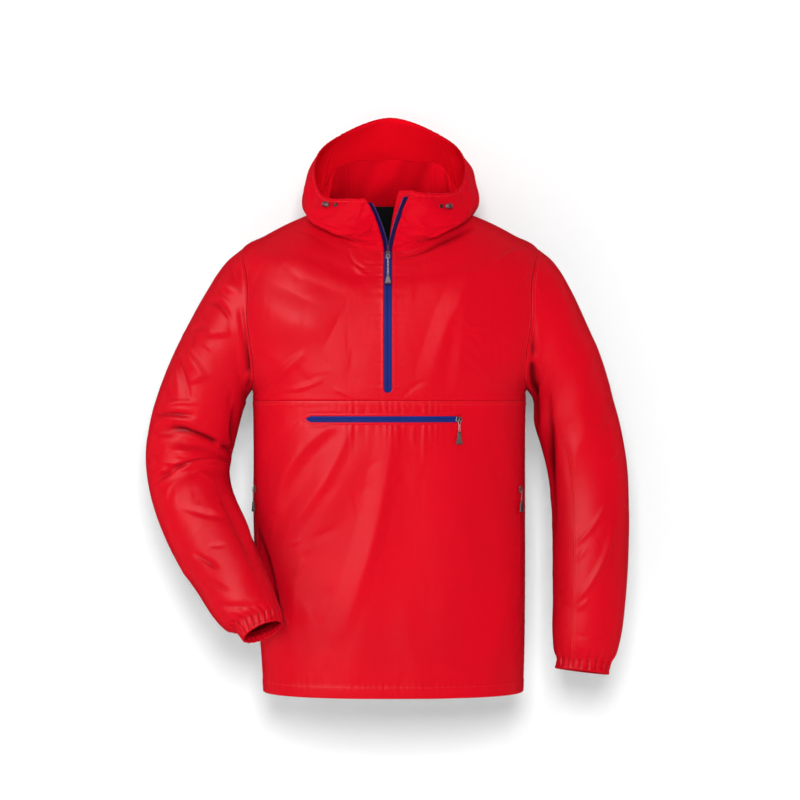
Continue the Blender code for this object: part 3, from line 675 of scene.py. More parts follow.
def makeCrumple():
    # fine crumpling of thin cloth: soft dents, small ridges and a slow change of tone
    outputs = {"Height": "NodeSocketFloat", "Tone": "NodeSocketFloat"}
    group, given, result = nodeGroup("clothCrumple", {"Scale": 1.0}, outputs)
    place = group.nodes.new("ShaderNodeTexCoord").outputs["Object"]
    stretch = group.nodes.new("ShaderNodeMapping")
    feedNode(group, stretch, {"Scale": crumpling["stretch"], "Vector": place})
    sizes = [crumpling[name] for name in ("broad", "small", "tone")]
    scales = [mathNode(group, "MULTIPLY", given.outputs["Scale"], size) for size in sizes]
    broad = noiseNode(group, stretch.outputs[0], scales[0], 2.0, 0.5, 0.5)
    small = noiseNode(group, stretch.outputs[0], scales[1], 2.0, 0.5, 0.3)
    low = mathNode(group, "MULTIPLY", small, crumpling["smallHeight"])
    height = mathNode(group, "MULTIPLY_ADD", broad, crumpling["broadHeight"], low)
    group.links.new(height, result.inputs["Height"])
    group.links.new(noiseNode(group, place, scales[2], 2.0, 0.5), result.inputs["Tone"])
    return group


weaveGroup, crumpleGroup = makeWeave(), makeCrumple()


def placeGroup(tree, group, **values):
    node = tree.nodes.new("ShaderNodeGroup")
    node.node_tree = group
    return feedNode(tree, node, values).outputs


def mixColours(tree, share, first, second):
    node = tree.nodes.new("ShaderNodeMix")
    node.data_type = "RGBA"
    node.clamp_factor = True
    return feedNode(tree, node, {0: share, 6: first, 7: second}).outputs[2]


def bumpNode(tree, height, strength, distance, **normal):
    values = {"Strength": strength, "Distance": distance * mm, "Height": height, **normal}
    return feedNode(tree, tree.nodes.new("ShaderNodeBump"), values).outputs["Normal"]


def newMaterial(name, roughness, specular, metallic=0.0):
    material = bpy.data.materials.new(name)
    material.use_nodes = True
    tree = material.node_tree
    values = {"Roughness": roughness, "Specular IOR Level": specular, "Metallic": metallic}
    return material, tree, feedNode(tree, tree.nodes["Principled BSDF"], values)


windCloth = {
    "main": (0.645, 0.0012, 0.0105),
    "tired": (0.58, 0.0010, 0.0095),
    # deep: the colour of the painted shade in the cloth's hollows
    "deep": (0.13, 0.0, 0.002),
    "bounce": (0.45, 0.45, 0.45),  # what it casts on its surroundings
    "roughness": 0.32,
    "specular": 0.07,
}
tapeCloth = {
    "main": (0.008, 0.023, 0.175),
    "tired": (0.006, 0.017, 0.135),
    "deep": (0.003, 0.008, 0.05),
    "roughness": 0.6,
    "specular": 0.05,
    "weavePitch": 1.1,
    "slant": 1.0,
    "weaveDepth": 0.2,
    "crumple": 2.0,
    "crumpleDepth": 0.25,
}
cloths = {
    "windCloth": windCloth,
    "cuffCloth": {**windCloth, "crumple": 1.6, "crumpleDepth": 0.9},
    # the hood's cloth: the body's cloth with less sheen, made a little brighter as painted light
    "hoodCloth": {
        "main": (0.665, 0.0016, 0.0115),
        "tired": (0.60, 0.0013, 0.0105),
        "deep": (0.14, 0.0, 0.002),
        "bounce": (0.75, 0.40, 0.40),
        "roughness": 0.5,
        "specular": 0.014,
    },
    # the hood's inner face: the same cloth made much brighter and without sheen, as painted light inside the
    # hood
    "litReverseCloth": {
        "main": (0.84, 0.003, 0.0125),
        "tired": (0.77, 0.0025, 0.0115),
        "deep": (0.18, 0.0, 0.002),
        "bounce": (0.90, 0.45, 0.45),
        "roughness": 0.6,
        "specular": 0.0,
    },
    "zipTape": tapeCloth,
    # the zip's tape in the open neck: the same tape made darker and purpler, as painted shade in the opening
    "shadedOpenTape": {
        **tapeCloth,
        "main": (0.011, 0.002, 0.050),
        "tired": (0.008, 0.0015, 0.036),
        "deep": (0.004, 0.001, 0.014),
        "specular": 0.04,
    },
    "neckLabel": {
        "main": (0.003, 0.004, 0.004),
        "tired": (0.006, 0.007, 0.007),
        "deep": (0.001, 0.001, 0.001),
        "roughness": 0.7,
        "specular": 0.05,
        "weavePitch": 1.3,
        "weaveDepth": 0.15,
        "crumple": 2.0,
        "crumpleDepth": 0.3,
    },
}
plainWeave = {"weavePitch": 0.7, "slant": 0.0, "weaveDepth": 0.05, "crumple": 1.0, "crumpleDepth": 1.1}


def makeClothMaterial(name, look):
    # cloth in its dye colour: woven bump, fine crumpling, uneven tone, and painted shade darkening the folds
    look = {**plainWeave, **look}
    material, tree, shader = newMaterial(name, look["roughness"], look["specular"])
    crumpled = placeGroup(tree, crumpleGroup, Scale=look["crumple"])
    woven = placeGroup(tree, weaveGroup, Pitch=look["weavePitch"], Slant=look["slant"])
    tone = mathNode(tree, "MULTIPLY_ADD", crumpled["Tone"], 2.2, -0.75)
    colour = mixColours(tree, tone, look["main"], look["tired"])
    hollow = tree.nodes.new("ShaderNodeAttribute")
    hollow.attribute_name = "hollow"
    # painted shade: the hollows darken towards the deep colour
    shadeShare = mathNode(tree, "MULTIPLY", hollow.outputs["Fac"], 0.92)
    colour = mixColours(tree, shadeShare, colour, look["deep"])
    if "bounce" in look:
        path = tree.nodes.new("ShaderNodeLightPath")
        colour = mixColours(tree, path.outputs["Is Diffuse Ray"], colour, look["bounce"])
    rough = mathNode(tree, "MULTIPLY_ADD", crumpled["Tone"], 0.16, look["roughness"] - 0.08)
    normal = bumpNode(tree, crumpled["Height"], 0.55, look["crumpleDepth"])
    normal = bumpNode(tree, woven["Height"], 0.35, look["weaveDepth"], Normal=normal)
    feedNode(tree, shader, {"Base Color": colour, "Roughness": rough, "Normal": normal})
    return material


finishes = {  # colour, rubbed colour, roughness, specular, metallic, grain
    "thread": ((0.78, 0.012, 0.02), (0.62, 0.004, 0.014), 0.55, 0.3, 0.0, 900.0),
    "zipCoil": ((0.02, 0.008, 0.10), (0.05, 0.03, 0.19), 0.4, 0.5, 0.0, 900.0),
    "slider": ((0.18, 0.15, 0.16), (0.38, 0.33, 0.33), 0.36, 0.5, 0.7),
    "darkMetal": ((0.05, 0.035, 0.045), (0.14, 0.11, 0.12), 0.4, 0.5, 0.6),
    "sideSlider": ((0.12, 0.012, 0.016), (0.26, 0.09, 0.10), 0.4, 0.5, 0.3),
    "pullLink": ((0.34, 0.24, 0.26), (0.46, 0.36, 0.37), 0.5, 0.4, 0.1),
    "sideLink": ((0.24, 0.06, 0.07), (0.38, 0.16, 0.17), 0.5, 0.4, 0.1),
    "frontGrip": ((0.17, 0.13, 0.14), (0.27, 0.23, 0.23), 0.5, 0.4),
    "pocketGrip": ((0.075, 0.045, 0.04), (0.13, 0.09, 0.08), 0.5, 0.4),
    "gripEdge": ((0.055, 0.022, 0.025), (0.11, 0.05, 0.05), 0.45, 0.4),
    "sideGrip": ((0.03, 0.018, 0.022), (0.07, 0.05, 0.055), 0.5, 0.4),
    "toggle": ((0.12, 0.03, 0.04), (0.26, 0.11, 0.12), 0.42, 0.4),
    "toggleShade": ((0.05, 0.014, 0.018), (0.10, 0.04, 0.045), 0.4, 0.45),
    "eyelet": ((0.05, 0.008, 0.012), (0.12, 0.03, 0.035), 0.4, 0.5, 0.3),
}
grainDepth = 0.12


def makePlainMaterial(name, colour, worn, roughness, specular, metallic=0.0, grain=260.0):
    # moulded or metal finish: fine grain, and a cloudy tone between its colour and its rubbed colour
    material, tree, shader = newMaterial(name, roughness, specular, metallic)
    place = tree.nodes.new("ShaderNodeTexCoord").outputs["Object"]
    cloud = noiseNode(tree, place, grain, 3.0, 0.6)
    speck = noiseNode(tree, place, grain * 9, 2.0, 0.5)
    mixed = mathNode(tree, "MULTIPLY_ADD", cloud, 1.6, -0.45)
    tone = mixColours(tree, mixed, colour, worn)
    rough = mathNode(tree, "MULTIPLY_ADD", cloud, 0.24, roughness - 0.12)
    normal = bumpNode(tree, speck, 0.4, grainDepth)
    feedNode(tree, shader, {"Base Color": tone, "Roughness": rough, "Normal": normal})
    return material


fabric = {name: makeClothMaterial(name, look) for name, look in cloths.items()}
finish = {name: makePlainMaterial(name, *look) for name, look in finishes.items()}
print("materials made")


# Camera, lights and backdrop
def makeCamera():
    lens = bpy.data.cameras.new("camera")
    lens.lens = cameraSetup["lens"]
    lens.sensor_width = cameraSetup["sensor"]
    lens.clip_end = cameraSetup["farthest"]
    camera = newObject("camera", lens)
    camera.location = cameraSetup["place"]
    camera.rotation_euler = (math.pi / 2, 0, 0)
    bpy.context.scene.camera = camera


def makeLights():
    aim = Vector(studio["aim"])
    for name, light in lights.items():
        lamp = bpy.data.lights.new(name, "AREA")
        lamp.energy = light["watts"]
        lamp.size = light["size"]
        holder = newObject(name, lamp)
        holder.location = light["place"]
        holder.rotation_euler = (aim - Vector(light["place"])).to_track_quat("-Z", "Y").to_euler()
        holder.visible_diffuse = light["soft"]
        holder.visible_glossy = light["gloss"]
    world = bpy.data.worlds.new("studio")
    bpy.context.scene.world = world
    world.use_nodes = True
    sky = {"Color": studio["world"], "Strength": studio["worldStrength"]}
    feedNode(world.node_tree, world.node_tree.nodes["Background"], sky)
    world.cycles_visibility.glossy = False
    bpy.context.scene.view_settings.view_transform = "Standard"


def makeBackdrop():
    # a wall that turns into a floor, seen from its front only
    radius = studio["coveRadius"]
    turn = np.linspace(0, math.pi / 2, 9)
    half = studio["wallHalf"]
    profile = [(studio["wallY"], studio["wallTop"])]
    wallFoot, floor = studio["wallY"] - radius, studio["floorZ"]
    profile += [(wallFoot + radius * math.cos(t), floor + radius - radius * math.sin(t)) for t in turn]
    profile += [(studio["floorFront"], floor)]
    points = np.array([[(x, y, z) for x in (-half, half)] for y, z in profile[::-1]])
    wall = newObject("backdrop", gridMesh("backdrop", points))
    material, tree, shader = newMaterial("pale", 0.9, 0.0)
    feedNode(tree, shader, {"Base Color": studio["wallColour"]})
    facing = tree.nodes.new("ShaderNodeNewGeometry").outputs["Backfacing"]
    clear = tree.nodes.new("ShaderNodeBsdfTransparent").outputs[0]
    mix = feedNode(tree, tree.nodes.new("ShaderNodeMixShader"), {0: facing, 1: shader.outputs[0], 2: clear})
    feedNode(tree, tree.nodes["Material Output"], {"Surface": mix.outputs[0]})
    wall.data.materials.append(material)
    wall.visible_glossy = False


makeCamera()
makeLights()
makeBackdrop()
print("camera, lights and backdrop placed")

# The body: a front in two parts, split at the chest seam, and a back
body = {
    "thickness": 0.6,
    "frontStep": 2.5,
    "skirtStep": 2.7,
    "backStep": 4.2,
    "upperTurns": (-2.6, -0.5, 8),  # radians round the body at which its rows are spaced
    "lowerTurns": (-2.9, -0.24, 8),
    "backTurns": (0.4, 2.7, 8),
    "zipLap": 3.4,
    "pocketZ": -295.0,
    "pocketHalf": 4.0,
    "pocketTaper": 7,
    "pocketX": (-123.0, 99.0),
    "sideZipDegrees": {1: -21.5, -1: -163.5},
    "sideZipZ": (-560.0, -399.0),
}
chestFolds = [  # startX, startZ, endX, endZ, bow, litWidth, darkWidth, height
    (-205, -60, -60, -95, -10, 34, 26, 2.6),
    (-135, -50, -30, -80, 8, 26, 24, -1.8),
    (-200, -108, -88, -166, 8, 60, 56, 7.5),
    # a deep crease by the right armhole, darkened as painted shade between sleeve and body
    (-214, -140, -209, -252, 0, 6, 9, -7.0),
    (-150, -104, -112, -30, 0, 62, 75, 7.0),
    (-190, -249, -126, -200, 2, 9, 13, 2.8),
    (-146, -253, -98, -238, 2, 8, 6, 1.5),
    (132, -60, 56, -255, 8, 26, 28, 3.4),
    (153, -68, 204, -46, -7, 6, 8, 1.9),
    (166, -117, 208, -72, 5, 11, 8, 2.4),
    (112, -120, 96, -262, 0, 18, 60, 3.4),
    (110, -156, 138, -162, 3, 4, 4, 0.9),
    (112, -172, 130, -183, -2, 4, 4, -0.9),
    # these two creases lie under the hood's left side; their darkened hollows are the hood's shadow painted
    # on the chest
    (16, -56, 66, -41, 2, 5, 7, -4.5),
    (44, -45, 120, -10, 3, 8, 17, -6.0),
    (10, -49, 41, -42, 4, 3, 4, -1.7),
    (18, -44, 46, -26, 0, 18, 5, 2.4),
    (-48, -20, -30, -52, 5, 6, 5, 1.3),
    (-60, -48, -36, -74, 6, 5, 5, -1.4),
    (-52, -62, -34, -84, 5, 5, 4, 1.2),
    (-70, -30, -44, -40, 3, 5, 5, -1.2),
    (50, -240, 20, -262, 3, 7, 6, -1.3),
    (-80, -250, -50, -264, 2, 6, 6, 1.2),
]
skirtFolds = [
    (-84, -304, -168, -430, 16, 38, 18, 6.5),
    (-56, -303, -155, -463, -10, 24, 17, 4.0),
    (6, -301, -70, -605, -12, 30, 20, 4.4),
    (12, -308, 12, -340, 0, 4, 4, 1.0),
    (34, -303, 34, -333, 0, 4, 4, 0.9),
    (50, -303, 50, -354, 0, 5, 5, 1.0),
    (-149, -478, -130, -471, 2, 5, 4, 1.0),
    (-138, -522, -127, -500, 1, 4, 4, 0.9),
    # these two creases run along the forearm's edge; their darkened hollows are the forearm's shadow painted
    # on the body
    (-198, -460, -168, -562, -3, 7, 14, -7.0),
    (-172, -546, -153, -606, 1, 7, 14, -6.5),
    (-128, -500, -142, -640, 8, 24, 20, 2.0),
    (95, -312, 128, -520, 10, 36, 34, 2.0),
    (150, -300, 175, -420, 8, 26, 24, -1.8),
    (20, -560, 50, -690, 6, 34, 30, 1.6),
    (178, -560, 150, -690, 6, 24, 20, 1.8),
]
backDrape = [
    (-150, -110, -40, -190, 10, 40, 22, 4.0),
    (150, -105, 30, -200, -10, 40, 22, 4.0),
    (-180, -240, -90, -330, 8, 34, 20, 4.5),
    (175, -250, 80, -345, -8, 34, 20, 4.5),
    (-60, -330, -110, -560, 16, 44, 24, 4.5),
    (50, -320, 120, -580, -16, 44, 24, 4.5),
    (0, -260, -12, -620, 8, 40, 30, -4.0),
    (-170, -420, -130, -640, 6, 26, 20, -3.5),
    (165, -430, 150, -650, 6, 26, 20, -3.5),
    (-90, -60, -60, -130, 6, 18, 12, -3.0),
    (95, -60, 60, -135, -6, 18, 12, -3.0),
]
chestFolds += scatteredFolds(3, 22, (-195, 0, -250, -60), (-35, 35), (14, 46), (5, 10), (0.2, 0.7))
chestFolds += scatteredFolds(6, 14, (20, 195, -250, -60), (-60, 40), (14, 40), (5, 9), (0.2, 0.6))
skirtFolds += scatteredFolds(4, 26, (-195, 0, -690, -330), (65, 28), (14, 60), (5, 10), (0.2, 0.8))
skirtFolds += scatteredFolds(7, 16, (10, 195, -690, -330), (80, 30), (20, 60), (6, 12), (0.2, 0.6))
backDrape += scatteredFolds(5, 90, (-195, 195, -690, -60), (75, 45), (18, 70), (5, 10), (0.5, 1.5))


def slotDistance(x, z):
    # from the rounded slot of the front zip, in mm
    return np.hypot(x - zipX, np.minimum(z - zipBottom - zipHalf, 0)) - zipHalf


def zipHalfAt(z):
    below = np.clip((zipBottom + zipHalf - z) / zipHalf, 0, 1)
    return np.maximum(zipHalf * np.sqrt(1 - below**2), 0.12)


def zipWork(points, gaps):
    x, z = points[..., 0] / mm, points[..., 2] / mm
    gap = np.maximum(slotDistance(x, z), 0)
    reach = (points[..., 1] < 0) & (np.abs(x - zipX) < 60)
    lap = 0.5 * (1 - smoothStep(body["zipLap"] + 0.4, body["zipLap"] + 2.2, gap))
    worked = lap - 0.4 * ridge(gap, body["zipLap"], 1.0) - 0.9 * rolledEdge(gap, 1.3)
    gathers = 0.5 * np.exp(-gap / 9) * smoothStep(0, 3, gap) * pucker(z * 0.8, 0.6)
    return (worked + gathers) * reach


def pocketGap(x, z):
    # distance from the pocket's slit, which narrows to a point at its far end
    low, high = body["pocketX"]
    half = body["pocketHalf"] * np.clip((x - low) / body["pocketTaper"], 0.05, 1)
    beyond = np.maximum(np.maximum(low - x, x - high - 4), 0)
    return np.hypot(np.maximum(np.abs(z - body["pocketZ"]) - half, 0), beyond)


def pocketWork(points):
    x, z = points[..., 0] / mm, points[..., 2] / mm
    gap = pocketGap(x, z)
    front = points[..., 1] < -0.03
    lips = 0.7 * ridge(gap, 1.8, 1.6) - 0.35 * ridge(gap, 4.2, 1.0)
    sunk = -1.5 * (1 - smoothStep(0, 1.2, gap))
    along = smoothStep(body["pocketX"][0] + 10, -60, x) * (1 - smoothStep(88, 120, x))
    above = np.exp(-np.abs(gap - 8) / 10) * (z > body["pocketZ"])
    below = np.exp(-np.maximum(gap - 4, 0) / 15) * (z < body["pocketZ"])
    waves = np.sin(x / 1.75 + 2.3 * np.sin(x / 11.0)) + 0.6 * np.sin(x / 1.13 + 2 * np.sin(x / 17.0))
    uneven = 0.62 + 0.38 * np.sin(x / 8.7 + 1.2)
    gathers = (0.85 * above + 0.85 * below) * along * uneven * smoothStep(1, 6, gap) * waves
    return (lips + sunk + gathers) * front


def sideZipWork(points):
    height = 0
    x, y, z = np.moveaxis(points, -1, 0) / mm
    low, high = body["sideZipZ"]
    for side, degrees in body["sideZipDegrees"].items():
        spot = bodyPoint(math.radians(degrees), np.clip(rowAtHeight(z.mean(1)), 0, 5))[:, None] / mm
        beyond = np.maximum(np.maximum(low - z, z - high), 0)
        gap = np.hypot(np.hypot(x - spot[..., 0], y - spot[..., 1]), beyond)
        welt = 0.9 * ridge(gap, 4.5, 2.2) - 1.0 * ridge(gap, 0, 1.8)
        height = height + welt + 0.5 * np.exp(-np.abs(gap - 7) / 6) * pucker(z, side) * (gap > 2)
    return height


def closerRows(rows, band):
    # a band of closer rows takes the place of those that it covers
    return np.sort(np.concatenate([rows[(rows < band[0]) | (rows > band[-1])], band]))


def bodyPiece(part, points, hollow, lines, cut=None):
    piece = clothPiece(f"cloth_{part}", points, hollow, [part], fabric["windCloth"], body["thickness"], cut)
    stitchPiece(f"stitches_{part}", lines)
    return piece


def makeFrontUpper():
    bottom, top = rowOf["chestSeam"], rowOf["neckSeam"]
    band = rowAtHeight(np.linspace(zipBottom - 3, zipBottom + zipHalf + 2, 13))
    rows = closerRows(stepsUpBody(np.linspace(*body["upperTurns"]), bottom, top, body["frontStep"]), band)
    tries = np.linspace(bottom, top, 901)
    half = zipHalfAt(np.interp(rows, tries, splineRead(bodyRows, tries)[:, 4]))
    middleRow = rowOf["armholeLow"]
    zipAngle = float(angleAt(zipX, middleRow))
    shares = []
    for start, end in ((-math.pi + 0.5, zipAngle), (zipAngle, -0.5)):
        steps = stepsRoundBody(middleRow, start, end, body["frontStep"])
        shares.append((steps - start) / (end - start))
    hole = armholeAngle(rows)[:, None]
    zipRight, zipLeft = (angleAt(zipX + side * half, rows)[:, None] for side in (-1, 1))
    right = -math.pi + hole + (zipRight + math.pi - hole) * shares[0]
    left = zipLeft + (-hole - zipLeft) * shares[1]
    plain = bodyPoint(np.concatenate([right, left], 1), rows[:, None])
    edges = {"bottom": "seam", "start": "seam", "end": "seam", "top": "soft"}
    points, hollow = workCloth(plain, edges, chestFolds, (), zipWork, 0.4)
    middle = right.shape[1]
    cut = np.zeros(points.shape[:2], bool)
    cut[rows > rowAtHeight(zipBottom + 0.2), middle - 1 : middle + 1] = True
    above = rows > rowAtHeight(zipBottom + zipHalf)
    lines = [lineAlong(points[above, :middle], "end", body["zipLap"])]
    lines += [lineAlong(points[above, middle:], "start", body["zipLap"])]
    lines += [lineAlong(points, place, edging["seam"]) for place in ("start", "end")]
    return bodyPiece("front_upper", points, hollow, lines, cut)


def makeFrontLower():
    rows = stepsUpBody(np.linspace(*body["lowerTurns"]), 0, rowOf["chestSeam"], body["skirtStep"])
    band = rowAtHeight(np.linspace(body["pocketZ"] - 9, body["pocketZ"] + 9, 17))
    columns = stepsRoundBody(rowOf["hip"], -math.pi, 0, body["frontStep"])
    plain = bodyPoint(columns[None], closerRows(rows, band)[:, None])
    edges = {"bottom": "hem", "start": "seam", "end": "seam", "top": "felled"}
    extra = lambda points, gaps: pocketWork(points) + sideZipWork(points)
    quiet = lambda x, z: smoothStep(1.5, 11, pocketGap(x, z))
    points, hollow = workCloth(plain, edges, skirtFolds, (), extra, 1.1, quiet)
    lines = [lineAlong(points, "bottom", edging["hemStitch"])]
    lines += [lineAlong(points, "top", gap) for gap in edging["felled"]]
    lines += [lineAlong(points, place, edging["seam"]) for place in ("start", "end")]
    return bodyPiece("front_lower", points, hollow, lines)


def makeBack():
    rows = stepsUpBody(np.linspace(*body["backTurns"]), 0, rowOf["neckSeam"], body["backStep"])
    rows = np.unique(np.round([*rows, rowOf["underarm"], rowOf["shoulder"]], 4))
    steps = stepsRoundBody(rowOf["underarm"], 0, math.pi, body["backStep"]) / math.pi
    hole = armholeAngle(rows)[:, None]
    plain = bodyPoint(hole + (math.pi - 2 * hole) * steps[None], rows[:, None])
    edges = {"bottom": "hem", "start": "felled", "end": "felled", "top": "seam"}
    points, hollow = workCloth(plain, edges, (), backDrape, None, 2.2)
    lines = [lineAlong(points, "bottom", edging["hemStitch"])]
    lines += [lineAlong(points, place, gap) for place in ("start", "end") for gap in edging["felled"]]
    return bodyPiece("back", points, hollow, lines)


frontUpper, frontLower, back = makeFrontUpper(), makeFrontLower(), makeBack()
print("body made")

# Sleeves: an upper and an under panel each, with gathers towards the cuff
sleeves = {
    "thickness": 0.6,
    "step": 2.7,
    "underStep": 3.6,
    "gathers": 21,
    "gatherRows": (12.2, 14.0),  # between these rows the gathers grow to full depth
    "ladderTop": -462,  # the front seam is stitched twice below this height
    "cuffRoll": 1.1,
    "cuffColumns": 241,
    "cuffThickness": 0.5,
}
sleeveCreases = {
    -1: [
        (-224, -48, -214, -66, 2, 5, 5, -3.0),
        (-253, -93, -221, -110, 0, 30, 11, 5.0),
        (-238, -64, -227, -94, 0, 4, 3, -1.5),
        # a deep crease along the sleeve's inner edge, darkened as painted shade between sleeve and body
        (-218, -134, -211, -262, -4, 7, 11, -9.0),
        (-257, -105, -236, -129, 0, 6, 5, 2.0),
        (-272, -120, -236, -146, -5, 5, 9, -4.4),
        (-276, -170, -236, -168, 0, 36, 8, 4.6),
        (-279, -131, -273, -150, 0, 4, 4, -2.2),
        (-289, -158, -273, -159, 0, 4, 5, -2.6),
        (-297, -164, -291, -186, 0, 4, 5, -2.2),
        (-301, -193, -276, -231, 0, 22, 12, 5.0),
        (-301, -242, -268, -232, 0, 12, 6, 2.4),
        (-319, -200, -296, -266, -4, 5, 7, -3.4),
        (-318, -206, -309, -262, 0, 14, 4, 2.8),
        (-334, -237, -328, -264, 0, 4, 4, -2.2),
        (-345, -280, -288, -272, -4, 8, 5, 2.8),
        (-350, -289, -292, -290, -2, 8, 9, -6.0),
        (-358, -318, -296, -312, 0, 9, 30, -3.4),
        (-322, -309, -227, -352, -7, 7, 10, -8.0),
        (-318, -343, -268, -344, 0, 8, 5, 2.0),
        (-357, -349, -284, -354, 9, 6, 5, 2.6),
        (-357, -368, -284, -355, 10, 6, 5, 2.6),
        (-347, -387, -262, -352, -6, 7, 8, -6.5),
        # a deep crease along the sleeve's inner edge, darkened as painted shade between sleeve and body
        (-236, -262, -231, -352, 0, 10, 8, -6.0),
        (-226, -395, -196, -522, 4, 58, 17, 8.0),
        (-309, -423, -237, -443, 0, 8, 9, -2.6),
        (-256, -407, -242, -401, 0, 4, 4, -1.6),
        (-252, -417, -244, -431, 3, 3, 3, 1.2),
        (-263, -480, -241, -480, 0, 4, 5, -1.8),
        (-285, -492, -250, -510, 0, 6, 8, -3.8),
        (-266, -531, -233, -541, 0, 5, 7, -2.8),
        (-251, -562, -181, -560, 4, 8, 10, -3.0),
        (-196, -560, -172, -548, 0, 12, 5, 2.8),
    ],
    1: [
        (216, -60, 222, -110, 3, 7, 6, 2.0),
        # deep creases along the sleeve's inner edge, darkened as painted shade between sleeve and body
        (209, -140, 217, -312, 0, 8, 12, -9.0),
        (236, -262, 240, -462, 0, 10, 16, -8.0),
        (336, -344, 321, -360, 0, 6, 5, 1.8),
        (320, -422, 274, -482, -3, 7, 5, 2.4),
        (289, -486, 274, -507, 0, 5, 5, 1.6),
        (330, -452, 274, -564, -10, 9, 8, 3.2),
        (293, -560, 274, -578, 0, 5, 5, 1.8),
        (250, -532, 262, -532, 0, 3, 3, -1.2),
        (250, -545, 262, -545, 0, 3, 3, -1.2),
        (249, -567, 262, -572, 0, 3, 4, -1.4),
        (246, -599, 261, -601, 0, 3, 4, -1.4),
        (276, -613, 290, -617, 0, 3, 4, -1.2),
        (276, -634, 292, -640, 0, 4, 4, -1.4),
        (252, -70, 262, -180, -6, 24, 20, 2.2),
        (310, -180, 280, -300, 8, 26, 20, 2.2),
        (346, -250, 320, -330, 6, 18, 14, -2.0),
        (300, -300, 262, -400, 8, 28, 20, 2.0),
    ],
}
sleeveBackCreases = {
    -1: [
        (-230, -120, -290, -200, 8, 14, 10, -5.0),
        (-240, -180, -310, -240, 6, 20, 11, 4.0),
        (-345, -285, -250, -300, 6, 14, 10, -6.0),
        (-355, -320, -250, -330, -6, 18, 9, 5.0),
        (-350, -350, -252, -352, 6, 10, 9, -6.5),
        (-340, -400, -260, -400, 6, 18, 10, 4.0),
        (-310, -470, -240, -440, 6, 12, 10, -4.0),
        (-270, -540, -210, -500, 4, 16, 9, 3.0),
    ],
    1: [
        (232, -120, 290, -200, 8, 14, 12, -5.0),
        (236, -190, 310, -250, 6, 20, 12, 4.0),
        (250, -320, 340, -350, -8, 16, 13, -6.0),
        (255, -350, 345, -390, -8, 18, 9, 5.0),
        (250, -400, 340, -440, 6, 13, 11, -4.5),
        (270, -470, 330, -560, -6, 24, 14, 4.0),
        (262, -560, 320, -600, 6, 10, 9, -3.0),
    ],
}
smallCreases = {-1: (-350, -225, 46, 1.3), 1: (230, 345, 22, 0.7)}  # lowX, highX, count, height
for side, (lowX, highX, count, high) in smallCreases.items():
    box, heading = (lowX, highX, -600, -90), (50 * side, 45)
    sleeveCreases[side] += scatteredFolds(20 + side, count, box, heading, (10, 40), (4, 8), (0.3, high))
    sleeveBackCreases[side] += scatteredFolds(30 + side, 50, box, (0, 60), (12, 45), (4, 8), (0.5, 1.5))


def unevenTurns(turns, side):
    return 0.5 * np.sin(3 * turns + side) + 0.35 * np.sin(5 * turns + 2 * side)


def gatherWork(side, turns, places):
    # the cloth is drawn in by the elastic, so it stands in uneven pleats towards the cuff
    wave = np.sin(sleeves["gathers"] * turns + 2.2 * unevenTurns(turns, side))
    return 1.5 * smoothStep(*sleeves["gatherRows"], places) * (wave * (0.7 + 0.3 * np.sin(2 * turns)))


def makeSleeve(name, side):
    first, second = (math.radians(turn) for turn in sleeveSeamTurns[side])
    over = second - 2 * math.pi
    spans = {"top": (over, first, sleeves["step"]), "under": (first, second, sleeves["underStep"])}
    ring = np.linspace(0, 2 * math.pi, 7)[None, :-1]
    pieces = []
    for part, (start, end, step) in spans.items():
        isTop = part == "top"
        turns = evenSteps(lambda turn: sleevePoint(side, turn, 6.0), start, end, step)[None, ::side]
        places = evenSteps(lambda place: sleevePoint(side, ring, place[:, None]), 0, 14, step)[:, None]
        laps = ("felled", "soft") if isTop else ("soft", "seam")  # flat in front
        edges = {"bottom": "felled" if isTop else "seam", "start": laps[::side][0], "end": laps[::side][1]}
        extra = lambda points, gaps: gatherWork(side, turns, places)
        creases = sleeveCreases[side], sleeveBackCreases[side]
        phase = side + (2.0 if isTop else 3.1)
        points, hollow = workCloth(sleevePoint(side, turns, places), edges, *creases, extra, phase)
        node = f"sleeve_{name}_{part}"
        cloth = fabric["windCloth"]
        pieces.append(clothPiece(f"cloth_{node}", points, hollow, [node], cloth, sleeves["thickness"]))
        if isTop:
            behind, inFront = ("start", "end")[::side]
            lines = [lineAlong(points, behind, gap) for gap in edging["felled"]]
            lines += [lineAlong(points, "bottom", edging["felled"][1])]
            if side > 0:
                low = points[:, 0, 2] < sleeves["ladderTop"] * mm
                lines += [lineAlong(points[low], inFront, gap) for gap in edging["felled"]]
            stitchPiece(f"stitches_sleeve_{name}", lines)
    return pieces


